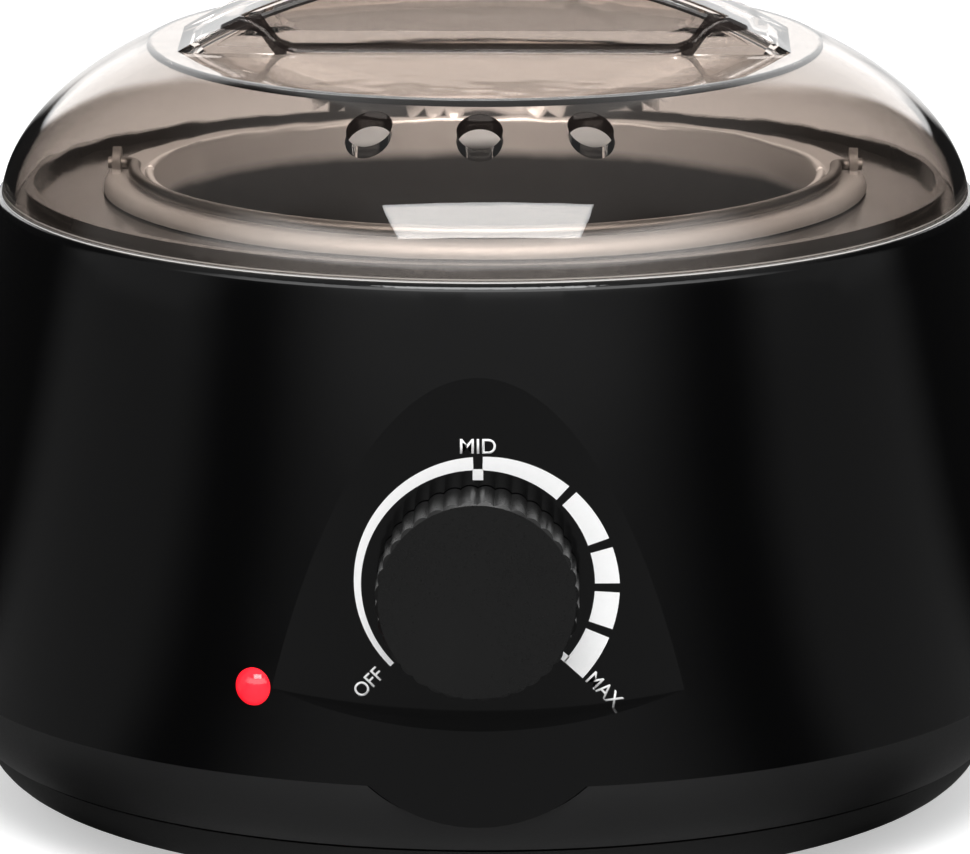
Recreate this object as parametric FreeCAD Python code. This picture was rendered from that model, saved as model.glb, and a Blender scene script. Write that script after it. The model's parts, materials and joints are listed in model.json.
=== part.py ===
"""Electric wax warmer with a lift-out pot and a domed clear lid.

Millimetres. The origin is on the surface that the feet stand on, under the middle of the pot.
+Z is up and -Y is the front, where the dial is. Every length below can be changed by itself;
what seats on, passes through or lines up with another piece is worked out from the same values.
"""

import FreeCAD
import Part
import math
import os

from FreeCAD import Vector

# ---------------------------------------------------------------- driving dimensions
WALL = 2.5  # moulded wall of the housing and the base
FIT = 0.2  # gap between pieces that slip into one another
RUNNING_GAP = 0.06  # radial gap of a pin that turns in a hole

# feet and base
FOOT_RADIUS = 6.0
FOOT_STAND = 3.0  # how far a foot stands below the bottom cover
FOOT_SEAT = 1.2  # depth of a foot's recess in the cover
FOOT_INSET = 20.0  # middle of a foot to the edge of the flat underside
FOOT_ANGLES = (45.0, 135.0, 225.0, 315.0)
COVER_CURL = 9.6  # width of the cover's curved rim round its flat underside
COVER_STEP = 1.0  # how far the cover's rim lies inside the base ring
COVER_HEIGHT = 7.1  # underside to the groove
GROOVE = 0.6  # shadow groove between the cover and the base ring
GROOVE_DEPTH = 0.9
RING_HEIGHT = 11.4  # groove to the housing's lower edge
RING_CURL = 5.4  # how far the base ring curls in from the housing to the groove
SPIGOT_HEIGHT = 3.5  # upstand that slips inside the piece above
SPIGOT_WALL = 2.0
SLOT_COUNT = 12
SLOT_WIDTH = 2.6
SLOT_INNER = 18.0
SLOT_OUTER = 38.0

# housing
BODY_FOOT_RADIUS = 90.0
BODY_TOP_RADIUS = 80.4
BODY_HEIGHT = 78.5  # lower edge to the rim that the lid stands on
BODY_BULGE = 1.1  # how far the side swells beyond a straight cone
RIM_ROUND = 1.4
RIM_WIDTH = 2.2  # flat land of the housing's top edge
TONGUE_HALF_WIDTH = 17.0  # rounded tongue at the front of the lower edge
TONGUE_DROP = 6.2

# dial: the vertical flat on the front, and the knob
DIAL_FLAT_DEPTH = 3.38  # how deep the flat cuts into the side's cone at the knob's height
DIAL_HEIGHT = 53.3  # knob axis above the table
DIAL_SILL_BELOW = 22.1  # knob axis to the lowest point of the flat
DIAL_SILL_RADIUS = 103.0  # curve of the flat's lower edge
KNOB_RADIUS = 15.9
KNOB_DEPTH = 11.5
KNOB_GAP = 0.5  # knob skirt to the flat
KNOB_WALL = 2.2
KNOB_FLUTES = 36
FLUTE_DEPTH = 0.45
KNOB_HUB_RADIUS = 5.4
SHAFT_RADIUS = 3.0
SHAFT_FLAT = 2.3  # distance of the shaft's D flat from its axis
NECK_RADIUS = 4.8  # threaded neck of the thermostat
NUT_ACROSS_FLATS = 13.0
NUT_THICKNESS = 2.4

# thermostat behind the dial
STAT_WIDTH = 25.0
STAT_DEPTH = 12.5
STAT_HEIGHT = 22.0
BLADE_WIDTH = 6.3  # push-on terminals under the thermostat
BLADE_LENGTH = 8.0
BLADE_THICKNESS = 0.8

# indicator lamp
LENS_RADIUS = 2.5
LENS_HEAD = 1.9  # how far the dome stands out
LENS_FLANGE = 0.5  # added radius of the head
LENS_ANGLE = 23.4  # degrees to the left of the front
LENS_HEIGHT = 36.4
LENS_SEAT = 0.1  # head to the wall that it stands on
LENS_SPOT_FACE = 0.15  # depth of the flat that the nut bears on, inside the wall
LENS_NUT_RIM = 2.2  # width of the nut's ring
LENS_NUT_THICKNESS = 1.0
LAMP_LEAD = 6.0
LAMP_RADIUS = 2.0
LAMP_LENGTH = 7.0

# cord inlet at the back
INLET_HEIGHT = 34.0
INLET_BORE = 3.4
INLET_NECK = 4.6
INLET_FLANGE = 6.6
INLET_FLANGE_THICKNESS = 2.0
INLET_SLEEVE = 3.4  # how far the cord sleeve stands out beyond the flange

# deck, well and pot
DECK_THICKNESS = 2.2
DECK_LEDGE = 2.2  # width of the step in the housing that carries the deck
LID_RIDGE_GAP = 2.0  # inside of the lid to the ridge on the deck that centres it
LID_RIDGE_WIDTH = 1.6
LID_RIDGE_HEIGHT = 2.0
COLLAR_CLEARANCE = 0.5  # collar to the skirt of the pot's flange
COLLAR_STEP = 1.0  # how far the collar's bore lies outside the well
COLLAR_HEIGHT = 1.6
COLLAR_ROUND = 1.2
POT_SIDE_GAP = 1.2  # pot to well, all round
WELL_WALL = 1.2
WELL_FLANGE_WIDTH = 7.4
WELL_GAP = 1.0  # under the pot
WELL_CORNER = 8.0
WELL_SCREW_INSET = 3.7  # middle of a screw to the flange's edge
WELL_SCREW_SKIN = 0.6  # what is left of the deck over a screw
WELL_SCREW_ANGLES = (30.0, 150.0, 270.0)
POT_RADIUS = 54.4  # inside
POT_WALL = 1.0
POT_DEPTH = 56.0
POT_CORNER = 7.0
POT_FLANGE_WIDTH = 8.3
POT_FLANGE_ROUND = 2.0  # where the flange turns down into its skirt
POT_SKIRT_GAP = 0.3  # skirt to deck
POT_LIP_WIDTH = 1.5  # raised bead round the pot's mouth
POT_LIP_HEIGHT = 0.7
LUG_WIDTH = 5.4
LUG_THICKNESS = 1.4
LUG_STAND = 5.4  # inside of the pot to the inner face of a lug
BAIL_WIRE = 1.0  # wire radius
BAIL_MARGIN = 3.1  # inside of the pot to the middle of the wire
BAIL_BEND = 1.8  # radius of the wire's bend into its lug
BAIL_PIN_END = 0.8  # how far the wire stands out of its lug
BAIL_CLEARANCE = 0.3  # under the wire when it lies on the flange

# heater
BAND_BOTTOM = 6.0  # above the underside of the well
BAND_HEIGHT = 26.0
BAND_THICKNESS = 1.4
BAND_GAP = 14.0  # open width of the band, at the back
CLAMP_THICKNESS = 1.2
CLAMP_EAR = 7.0
CLAMP_HEIGHT = 10.0
CLAMP_BOLT_RADIUS = 1.4
FUSE_RADIUS = 2.0
FUSE_LENGTH = 11.0

# lid
LID_WALL = 2.2
LID_INSET = 0.6  # edge of the housing's rim to the lid's widest line
LID_RISE = 37.5  # upright half-axis
LID_SINK = 2.5  # ellipse centre below the lid's lower edge
LID_TOP_RADIUS = 55.0  # where the dome stops at the flat top
LID_TOP_ROUND = 3.0
GRIP_HALF_LENGTH = 50.0
GRIP_RISE = 13.8
GRIP_END_HALF_WIDTH = 14.0
GRIP_WAIST_HALF_WIDTH = 9.0
GRIP_ROUND = 2.0
SCOOP_HALF_FLOOR = 30.0  # flat floor of the finger space beside the grip
SCOOP_RAMP_RUN = 10.0
VENT_RADIUS = 3.6
VENT_CIRCLE = 62.4
VENT_STEP = 16.2  # degrees between the vents

# fasteners
BOSS_RADIUS = 4.2
BOSS_INSET = 6.5  # middle of a boss to the edge of the flat underside
BOSS_TOP_ABOVE_RING = 22.0
SCREW_RADIUS = 1.5
SCREW_HEAD_RADIUS = 3.2
SCREW_HEAD_HEIGHT = 2.0
SCREW_SEAT = 3.2  # depth of a screw recess in the cover
SCREW_LENGTH = 14.0
WEB_THICKNESS = 2.0

# wiring
TERMINAL_LENGTH = 26.0
TERMINAL_WIDTH = 14.0
TERMINAL_HEIGHT = 12.0
TERMINAL_Y = 34.0
TERMINAL_WAYS = 3
TERMINAL_SCREW_RADIUS = 2.0

# radii worked out from the sizes above
RING_FOOT_RADIUS = BODY_FOOT_RADIUS - RING_CURL
COVER_RIM_RADIUS = RING_FOOT_RADIUS - COVER_STEP
COVER_FLAT_RADIUS = COVER_RIM_RADIUS - COVER_CURL
FOOT_CIRCLE = COVER_FLAT_RADIUS - FOOT_INSET
BOSS_CIRCLE = COVER_FLAT_RADIUS - BOSS_INSET
WELL_RADIUS = POT_RADIUS + POT_WALL + POT_SIDE_GAP  # inside
WELL_FLANGE = WELL_RADIUS + WELL_FLANGE_WIDTH
WELL_SCREW_CIRCLE = WELL_FLANGE - WELL_SCREW_INSET
COLLAR_INNER = WELL_RADIUS + COLLAR_STEP
POT_FLANGE = POT_RADIUS + POT_FLANGE_WIDTH
COLLAR_OUTER = POT_FLANGE - POT_WALL - COLLAR_CLEARANCE
LUG_X = POT_RADIUS + LUG_STAND
BAIL_RADIUS = POT_RADIUS + BAIL_MARGIN
LID_RADIUS = BODY_TOP_RADIUS - LID_INSET  # widest half-axis of the dome's ellipse
LID_RIDGE_RADIUS = LID_RADIUS - LID_WALL - LID_RIDGE_GAP
LENS_NUT_RADIUS = LENS_RADIUS + LENS_NUT_RIM

# levels worked out from the sizes above
COVER_Z = FOOT_STAND
GROOVE_Z = COVER_Z + COVER_HEIGHT
RING_Z = GROOVE_Z + GROOVE
BODY_Z = RING_Z + RING_HEIGHT
RIM_Z = BODY_Z + BODY_HEIGHT
DECK_Z = RIM_Z - DECK_THICKNESS
COLLAR_Z = RIM_Z + COLLAR_HEIGHT
WELL_FLANGE_Z = DECK_Z - WELL_WALL
POT_RIM_Z = COLLAR_Z + POT_WALL
POT_BOTTOM_Z = POT_RIM_Z - POT_DEPTH
WELL_BOTTOM_Z = POT_BOTTOM_Z - POT_WALL - WELL_GAP
BAIL_Z = POT_RIM_Z + BAIL_CLEARANCE + BAIL_WIRE
DIAL_TAPER = (BODY_FOOT_RADIUS - BODY_TOP_RADIUS) * (DIAL_HEIGHT - BODY_Z) / BODY_HEIGHT
DIAL_FLAT_Y = BODY_FOOT_RADIUS - DIAL_TAPER - DIAL_FLAT_DEPTH  # distance of the flat from the axis
DIAL_BACK_Y = DIAL_FLAT_Y - WALL
KNOB_BACK_Y = DIAL_FLAT_Y + KNOB_GAP
KNOB_FACE_Y = KNOB_BACK_Y + KNOB_DEPTH
LID_CENTRE_Z = RIM_Z - LID_SINK
LID_TOP_Z = LID_CENTRE_Z + LID_RISE * math.sqrt(1 - (LID_TOP_RADIUS / LID_RADIUS) ** 2)
GRIP_ARC = (GRIP_HALF_LENGTH**2 + GRIP_RISE**2) / (2 * GRIP_RISE)  # radius of the arched top
GRIP_ARC_Z = LID_TOP_Z + GRIP_RISE - GRIP_ARC
OVERRUN = 1.0  # how far a cutting tool runs past what it cuts


# ---------------------------------------------------------------- helpers
def line(a, b):
    return Part.LineSegment(Vector(*a), Vector(*b)).toShape()


def arc(a, b, c):
    return Part.Arc(Vector(*a), Vector(*b), Vector(*c)).toShape()


def turned(points):
    """A solid of revolution about Z from a closed outline of (radius, height) corners."""
    corners = [Vector(r, 0, z) for r, z in points]
    wire = Part.makePolygon(corners + corners[:1])
    return Part.Face(wire).revolve(Vector(0, 0, 0), Vector(0, 0, 1), 360)


def turned_edges(edges):
    """A solid of revolution about Z from edges that close an outline in the XZ plane."""
    wire = Part.Wire(Part.__sortEdges__(edges))
    return Part.Face(wire).revolve(Vector(0, 0, 0), Vector(0, 0, 1), 360)


def disc(radius, height, base, axis=(0, 0, 1)):
    return Part.makeCylinder(radius, height, Vector(*base), Vector(*axis))


def tube(outer, inner, height, base, axis=(0, 0, 1)):
    return disc(outer, height, base, axis).cut(disc(inner, height, base, axis))


def block(x0, x1, y0, y1, z0, z1):
    return Part.makeBox(x1 - x0, y1 - y0, z1 - z0, Vector(x0, y0, z0))


def around(shape, angle):
    """A copy turned about the pot's axis."""
    copy = shape.copy()
    copy.rotate(Vector(0, 0, 0), Vector(0, 0, 1), angle)
    return copy


def polar(radius, angle, z):
    return (radius * math.cos(math.radians(angle)), radius * math.sin(math.radians(angle)), z)


def rounded(shape, radius, keep):
    """Fillets the edges that keep(edge) picks."""
    edges = [edge for edge in shape.Edges if keep(edge)]
    return shape.makeFillet(radius, edges)


def side_outline(inset):
    """The housing's side from its lower edge to its rim, as radius by height, drawn inset."""
    middle = (BODY_FOOT_RADIUS + BODY_TOP_RADIUS) / 2 + BODY_BULGE
    low = (BODY_FOOT_RADIUS - inset, 0, BODY_Z)
    mid = (middle - inset, 0, BODY_Z + BODY_HEIGHT / 2)
    top = (BODY_TOP_RADIUS - inset, 0, RIM_Z)
    return low, mid, top


def side_arc(inset):
    return arc(*side_outline(inset))


def side_circle(inset=0.0):
    """Centre radius, centre height and radius of the side's arc."""
    low, mid, top = side_outline(inset)
    circle = arc(low, mid, top).Curve
    return circle.Center.x, circle.Center.z, circle.Radius


def side_radius(z, inset=0.0):
    """Radius of the housing's side at a height, also below its lower edge."""
    x, centre_z, radius = side_circle(inset)
    return x + math.sqrt(radius**2 - (z - centre_z) ** 2)


# ---------------------------------------------------------------- base
def cover_solid(inset):
    """The dish of the bottom cover, inset by a wall."""
    low = COVER_Z + inset
    rim = (COVER_RIM_RADIUS - inset, 0, GROOVE_Z)
    foot = (COVER_FLAT_RADIUS - inset, 0, low)
    belly_radius = COVER_RIM_RADIUS - inset - (COVER_RIM_RADIUS - COVER_FLAT_RADIUS) * 0.22
    belly = (belly_radius, 0, low + (GROOVE_Z - low) * 0.42)
    edges = [
        line((0, 0, low), foot),
        arc(foot, belly, rim),
        line(rim, (0, 0, GROOVE_Z)),
        line((0, 0, GROOVE_Z), (0, 0, low)),
    ]
    return turned_edges(edges)


def bottom_cover():
    shape = cover_solid(0).cut(cover_solid(WALL))
    spigot_outer = RING_FOOT_RADIUS - WALL - FIT
    land = COVER_RIM_RADIUS - GROOVE_DEPTH
    spigot = turned([
        (spigot_outer - SPIGOT_WALL, GROOVE_Z - WALL),
        (spigot_outer, GROOVE_Z - WALL),
        (land, GROOVE_Z),
        (land, RING_Z),
        (spigot_outer, RING_Z),
        (spigot_outer, RING_Z + SPIGOT_HEIGHT),
        (spigot_outer - SPIGOT_WALL, RING_Z + SPIGOT_HEIGHT),
    ])
    shape = shape.fuse(spigot)
    for angle in FOOT_ANGLES:
        x, y, z = polar(BOSS_CIRCLE, angle, COVER_Z)
        shape = shape.fuse(disc(BOSS_RADIUS + FIT + WALL / 2, SCREW_SEAT + WALL, (x, y, z)))
        shape = shape.cut(disc(SCREW_HEAD_RADIUS + FIT, SCREW_SEAT, (x, y, z)))
        shape = shape.cut(disc(SCREW_RADIUS + FIT, SCREW_SEAT + WALL, (x, y, z)))
        x, y, z = polar(FOOT_CIRCLE, angle, COVER_Z)
        shape = shape.cut(disc(FOOT_RADIUS, FOOT_SEAT, (x, y, z)))
    half = SLOT_WIDTH / 2
    slot = block(SLOT_INNER, SLOT_OUTER, -half, half, COVER_Z - OVERRUN, COVER_Z + WALL + OVERRUN)
    slot = rounded(slot, half * 0.99, lambda edge: edge.BoundBox.ZLength > WALL)
    for index in range(SLOT_COUNT):
        shape = shape.cut(around(slot, index * 360 / SLOT_COUNT))
    return shape.removeSplitter()


def rubber_feet():
    feet = []
    for angle in FOOT_ANGLES:
        x, y, _ = polar(FOOT_CIRCLE, angle, 0)
        foot = disc(FOOT_RADIUS, FOOT_STAND + FOOT_SEAT, (x, y, 0))
        low_edge = [edge for edge in foot.Edges if edge.BoundBox.ZMax < FOOT_SEAT / 2]
        feet.append(foot.makeChamfer(FOOT_STAND / 4, low_edge))
    return feet


def ring_outline(inset):
    """The base ring's outside, curling in from the housing to the groove."""
    top = (BODY_FOOT_RADIUS - inset, 0, BODY_Z)
    foot = (RING_FOOT_RADIUS - inset, 0, RING_Z)
    belly = (
        BODY_FOOT_RADIUS - inset - (BODY_FOOT_RADIUS - RING_FOOT_RADIUS) * 0.26,
        0,
        RING_Z + RING_HEIGHT * 0.46,
    )
    return foot, belly, top


def tongue_tool(grow):
    """A bar along Y whose section is the round tongue, grown by a gap all round."""
    radius = (TONGUE_HALF_WIDTH**2 + TONGUE_DROP**2) / (2 * TONGUE_DROP)
    centre_z = BODY_Z - TONGUE_DROP + radius
    length = BODY_FOOT_RADIUS
    bar = disc(radius + grow, length, (0, -length / 2, centre_z), (0, -1, 0))
    return bar.common(block(-BODY_FOOT_RADIUS, BODY_FOOT_RADIUS, -2 * length, 0, 0, BODY_Z))


def base_ring():
    foot, belly, top = ring_outline(0)
    inner_foot, inner_belly, inner_top = ring_outline(WALL)
    shape = turned_edges([
        arc(foot, belly, top),
        line(top, inner_top),
        arc(inner_top, inner_belly, inner_foot),
        line(inner_foot, foot),
    ])
    spigot_outer = side_radius(BODY_Z + SPIGOT_HEIGHT, WALL) - FIT
    shelf_outer = BODY_FOOT_RADIUS - WALL / 2
    spigot = turned([
        (spigot_outer - SPIGOT_WALL, BODY_Z - SPIGOT_WALL),
        (shelf_outer - FIT, BODY_Z - SPIGOT_WALL),
        (shelf_outer, BODY_Z),
        (spigot_outer, BODY_Z),
        (spigot_outer, BODY_Z + SPIGOT_HEIGHT),
        (spigot_outer - SPIGOT_WALL, BODY_Z + SPIGOT_HEIGHT),
    ])
    shape = shape.fuse(spigot.cut(dial_tool(WALL + FIT)))
    tongue_space = tongue_tool(FIT).cut(disc(spigot_outer, BODY_Z, (0, 0, 0)))
    shape = shape.cut(tongue_space)
    boss_space = BOSS_RADIUS + WEB_THICKNESS
    for angle in FOOT_ANGLES:
        x, y, _ = polar(BOSS_CIRCLE, angle, 0)
        shape = shape.cut(disc(boss_space, BODY_HEIGHT, (x, y, RING_Z)))
        gap = block(BOSS_CIRCLE, spigot_outer + FIT, -boss_space / 2, boss_space / 2, BODY_Z - FIT, RIM_Z)
        shape = shape.cut(around(gap, angle))
    return shape.removeSplitter()


def base_screw(x, y, z):
    """A pan-head screw pointing up, with its head's underside at z + head height."""
    head = disc(SCREW_HEAD_RADIUS, SCREW_HEAD_HEIGHT, (x, y, z))
    head = rounded(head, SCREW_HEAD_HEIGHT * 0.4, lambda edge: edge.BoundBox.ZMax < z + 0.01)
    slot_half = SCREW_HEAD_RADIUS * 0.7
    slot_depth = SCREW_HEAD_HEIGHT * 0.45
    bar = block(x - slot_half, x + slot_half, y - 0.45, y + 0.45, z - OVERRUN, z + slot_depth)
    cross = block(x - 0.45, x + 0.45, y - slot_half, y + slot_half, z - OVERRUN, z + slot_depth)
    return head.fuse(disc(SCREW_RADIUS, SCREW_LENGTH, (x, y, z + SCREW_HEAD_HEIGHT))).cut(bar).cut(cross)


def base_screws():
    z = COVER_Z + SCREW_SEAT - SCREW_HEAD_HEIGHT
    return [base_screw(*polar(BOSS_CIRCLE, angle, z)) for angle in FOOT_ANGLES]


# ---------------------------------------------------------------- housing
def dial_tool(grow):
    """What the flat on the front takes away, or with grow, the space its wall needs."""
    radius = DIAL_SILL_RADIUS + grow
    centre_z = DIAL_HEIGHT - DIAL_SILL_BELOW + DIAL_SILL_RADIUS
    return disc(radius, BODY_FOOT_RADIUS, (0, -(DIAL_FLAT_Y - grow), centre_z), (0, -1, 0))


def side_place(angle, z):
    """A point on the housing's outside, and the direction square to the wall there."""
    centre_x, centre_z, _ = side_circle()
    radius = side_radius(z)
    x, y, _ = polar(radius - centre_x, angle, 0)
    outwards = Vector(x, y, z - centre_z)
    outwards.normalize()
    return Vector(*polar(radius, angle, z)), outwards


def lens_place():
    return side_place(-90 - LENS_ANGLE, LENS_HEIGHT)


def inlet_place():
    """Centre of the cord inlet's flat seat in the wall, and the direction outwards."""
    point, outwards = side_place(90, INLET_HEIGHT)
    sagitta = INLET_FLANGE**2 / (2 * side_radius(INLET_HEIGHT))
    return point - outwards * sagitta, outwards


def housing():
    outside = turned_edges([
        line((0, 0, BODY_Z), side_outline(0)[0]),
        side_arc(0),
        line(side_outline(0)[2], (0, 0, RIM_Z)),
        line((0, 0, RIM_Z), (0, 0, BODY_Z)),
    ])
    outside = rounded(outside, RIM_ROUND, lambda edge: edge.BoundBox.ZMin > RIM_Z - 0.01)
    inside = turned_edges([
        line((0, 0, BODY_Z), side_outline(WALL)[0]),
        side_arc(WALL),
        line(side_outline(WALL)[2], (0, 0, RIM_Z)),
        line((0, 0, RIM_Z), (0, 0, BODY_Z)),
    ])
    low_z = BODY_Z - TONGUE_DROP
    tongue = turned([
        (BODY_FOOT_RADIUS - WALL, BODY_Z),
        (BODY_FOOT_RADIUS, BODY_Z),
        (side_radius(low_z), low_z),
        (BODY_FOOT_RADIUS - WALL, low_z),
    ]).common(tongue_tool(0))
    rim_inner = BODY_TOP_RADIUS - RIM_WIDTH
    ledge_inner = rim_inner - DECK_LEDGE
    cavity = inside.common(disc(BODY_FOOT_RADIUS, DECK_Z - 2 * WALL - BODY_Z, (0, 0, BODY_Z)))
    throat = turned([
        (0, DECK_Z - 2 * WALL),
        (side_radius(DECK_Z - 2 * WALL, WALL), DECK_Z - 2 * WALL),
        (ledge_inner, DECK_Z - WALL),
        (ledge_inner, RIM_Z + OVERRUN),
        (0, RIM_Z + OVERRUN),
    ])
    deck_space = disc(rim_inner, DECK_THICKNESS + OVERRUN, (0, 0, DECK_Z))
    shape = outside.cut(dial_tool(0)).fuse(tongue)
    shape = shape.cut(cavity.cut(dial_tool(WALL))).cut(throat).cut(deck_space)
    boss_foot = COVER_Z + SCREW_SEAT + WALL
    boss_top = BODY_Z + BOSS_TOP_ABOVE_RING
    for angle in FOOT_ANGLES:
        x, y, z = polar(BOSS_CIRCLE, angle, boss_foot)
        half = WEB_THICKNESS / 2
        web = block(BOSS_CIRCLE, BODY_FOOT_RADIUS, -half, half, BODY_Z, boss_top)
        web = around(web, angle).common(inside)
        boss = disc(BOSS_RADIUS, boss_top - boss_foot, (x, y, z)).fuse(web)
        shape = shape.fuse(boss).cut(disc(SCREW_RADIUS, SCREW_LENGTH, (x, y, z)))
    neck_hole = disc(NECK_RADIUS + FIT, 2 * WALL, (0, -DIAL_BACK_Y + WALL, DIAL_HEIGHT), (0, -1, 0))
    point, outwards = lens_place()
    lens_hole = disc(LENS_RADIUS + FIT, 6 * WALL, point + outwards * (3 * WALL), -outwards)
    nut_seat = point - outwards * (WALL - LENS_SPOT_FACE)
    nut_space = disc(LENS_NUT_RADIUS + FIT, 2 * WALL, nut_seat, -outwards)
    face, outwards = inlet_place()
    inlet_hole = disc(INLET_NECK + FIT, 4 * WALL, face + outwards * (2 * WALL), -outwards)
    seat = disc(INLET_FLANGE + FIT, 2 * WALL, face, outwards)
    for tool in (neck_hole, lens_hole, nut_space, inlet_hole, seat):
        shape = shape.cut(tool)
    return shape.removeSplitter()


def cord_bush():
    """The sleeve that carries the cord through the wall; a snap nose holds it from inside."""
    face, outwards = inlet_place()
    nose_start = WALL + FIT
    stand_out = INLET_FLANGE_THICKNESS + INLET_SLEEVE
    flange = disc(INLET_FLANGE, INLET_FLANGE_THICKNESS, face, outwards)
    outer = face + outwards * INLET_FLANGE_THICKNESS
    flange = rounded(
        flange, INLET_FLANGE_THICKNESS * 0.4, lambda edge: edge.CenterOfMass.distanceToPoint(outer) < 0.1
    )
    neck = disc(INLET_NECK, 2 * WALL, face - outwards * (2 * WALL), outwards)
    nose = Part.makeCone(INLET_NECK + 0.8, INLET_NECK - 0.4, WALL, face - outwards * nose_start, -outwards)
    sleeve = Part.makeCone(INLET_NECK + 0.2, INLET_NECK - 0.2, stand_out, face, outwards)
    bore = disc(INLET_BORE, 8 * WALL, face - outwards * (4 * WALL), outwards)
    return flange.fuse(neck).fuse(nose).fuse(sleeve).cut(bore).removeSplitter()


# ---------------------------------------------------------------- deck and well
def deck_ring():
    outer = BODY_TOP_RADIUS - RIM_WIDTH - FIT
    ridge_top = RIM_Z + LID_RIDGE_HEIGHT
    shape = turned([
        (COLLAR_INNER, DECK_Z),
        (outer, DECK_Z),
        (outer, RIM_Z),
        (LID_RIDGE_RADIUS, RIM_Z),
        (LID_RIDGE_RADIUS, ridge_top),
        (LID_RIDGE_RADIUS - LID_RIDGE_WIDTH, ridge_top),
        (LID_RIDGE_RADIUS - LID_RIDGE_WIDTH, RIM_Z),
        (COLLAR_OUTER, RIM_Z),
        (COLLAR_OUTER, COLLAR_Z),
        (COLLAR_INNER, COLLAR_Z),
    ])
    shape = rounded(
        shape,
        COLLAR_ROUND,
        lambda edge: abs(edge.BoundBox.ZMin - COLLAR_Z) < 0.01 and edge.BoundBox.XMax > COLLAR_INNER + 1,
    )
    for angle in WELL_SCREW_ANGLES:
        x, y, z = polar(WELL_SCREW_CIRCLE, angle, DECK_Z)
        shape = shape.cut(disc(SCREW_RADIUS, DECK_THICKNESS - WELL_SCREW_SKIN, (x, y, z)))
    return shape


def bowl(radius, bottom_z, top_z, corner):
    """A round-cornered pot shape, solid all through."""
    body = disc(radius, top_z - bottom_z, (0, 0, bottom_z))
    return rounded(body, corner, lambda edge: edge.BoundBox.ZMax < bottom_z + 0.01)


def well():
    outside = bowl(WELL_RADIUS + WELL_WALL, WELL_BOTTOM_Z - WELL_WALL, DECK_Z, WELL_CORNER + WELL_WALL)
    inside = bowl(WELL_RADIUS, WELL_BOTTOM_Z, DECK_Z + OVERRUN, WELL_CORNER)
    shape = outside.fuse(disc(WELL_FLANGE, WELL_WALL, (0, 0, WELL_FLANGE_Z))).cut(inside)
    for angle in WELL_SCREW_ANGLES:
        x, y, z = polar(WELL_SCREW_CIRCLE, angle, WELL_FLANGE_Z)
        shape = shape.cut(disc(SCREW_RADIUS + FIT, WELL_WALL, (x, y, z)))
    return shape.removeSplitter()


def well_screws():
    screws = []
    head_height = SCREW_HEAD_HEIGHT * 0.6
    head_radius = SCREW_HEAD_RADIUS * 0.75
    for angle in WELL_SCREW_ANGLES:
        x, y, z = polar(WELL_SCREW_CIRCLE, angle, WELL_FLANGE_Z - head_height)
        head = disc(head_radius, head_height, (x, y, z))
        shank = disc(SCREW_RADIUS, WELL_WALL + DECK_THICKNESS - WELL_SCREW_SKIN, (x, y, WELL_FLANGE_Z))
        screws.append(head.fuse(shank))
    return screws


# ---------------------------------------------------------------- heater
def heater_band():
    inner = WELL_RADIUS + WELL_WALL
    low = WELL_BOTTOM_Z + BAND_BOTTOM
    band = tube(inner + BAND_THICKNESS, inner, BAND_HEIGHT, (0, 0, low))
    gap = block(-BAND_GAP / 2, BAND_GAP / 2, 0, 2 * inner, low - OVERRUN, low + BAND_HEIGHT + OVERRUN)
    return band.cut(gap)


def clamp_level():
    return WELL_BOTTOM_Z + BAND_BOTTOM + BAND_HEIGHT / 2


def band_clamp():
    """A metal strap round the heater band, with two ears that a bolt pulls together."""
    inner = WELL_RADIUS + WELL_WALL + BAND_THICKNESS
    outer = inner + CLAMP_THICKNESS
    low = clamp_level() - CLAMP_HEIGHT / 2
    strap = tube(outer, inner, CLAMP_HEIGHT, (0, 0, low))
    half_gap = BAND_GAP / 2
    gap = block(-half_gap, half_gap, 0, 2 * inner, low - OVERRUN, low + CLAMP_HEIGHT + OVERRUN)
    shape = strap.cut(gap)
    for side in (-1, 1):
        x0, x1 = sorted((side * half_gap, side * (half_gap + CLAMP_THICKNESS)))
        ear_root = math.sqrt(inner**2 - half_gap**2)
        ear = block(x0, x1, ear_root, outer + CLAMP_EAR, low, low + CLAMP_HEIGHT)
        shape = shape.fuse(ear.cut(disc(inner, CLAMP_HEIGHT, (0, 0, low))))
    hole = disc(CLAMP_BOLT_RADIUS + FIT, BAND_GAP * 2, (-BAND_GAP, clamp_bolt_y(), clamp_level()), (1, 0, 0))
    return shape.cut(hole).removeSplitter()


def clamp_bolt_y():
    return WELL_RADIUS + WELL_WALL + BAND_THICKNESS + CLAMP_THICKNESS + CLAMP_EAR / 2


def clamp_bolt():
    y = clamp_bolt_y()
    half = BAND_GAP / 2 + CLAMP_THICKNESS
    tail = 2.5
    head = disc(CLAMP_BOLT_RADIUS * 1.9, tail * 0.8, (half, y, clamp_level()), (1, 0, 0))
    shank = disc(CLAMP_BOLT_RADIUS, 2 * half + 2 * tail, (-half - 2 * tail, y, clamp_level()), (1, 0, 0))
    return head.fuse(shank)


def clamp_nut():
    base = Vector(-(BAND_GAP / 2 + CLAMP_THICKNESS), clamp_bolt_y(), clamp_level())
    radius = CLAMP_BOLT_RADIUS
    return hex_nut(radius * 3.9, radius, radius * 1.6, base, Vector(-1, 0, 0))


def hex_nut(across_flats, bore, thickness, base, axis):
    corner = across_flats / 2 / math.cos(math.radians(30))
    corners = [
        Vector(corner * math.cos(math.radians(60 * i)), corner * math.sin(math.radians(60 * i)), 0)
        for i in range(7)
    ]
    prism = Part.Face(Part.makePolygon(corners)).extrude(Vector(0, 0, thickness))
    shape = prism.cut(disc(bore, thickness, (0, 0, 0)))
    shape.Placement = FreeCAD.Placement(base, FreeCAD.Rotation(Vector(0, 0, 1), axis))
    return shape


def fuse_level():
    return WELL_BOTTOM_Z + BAND_BOTTOM + BAND_HEIGHT + FUSE_RADIUS * 2


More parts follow.
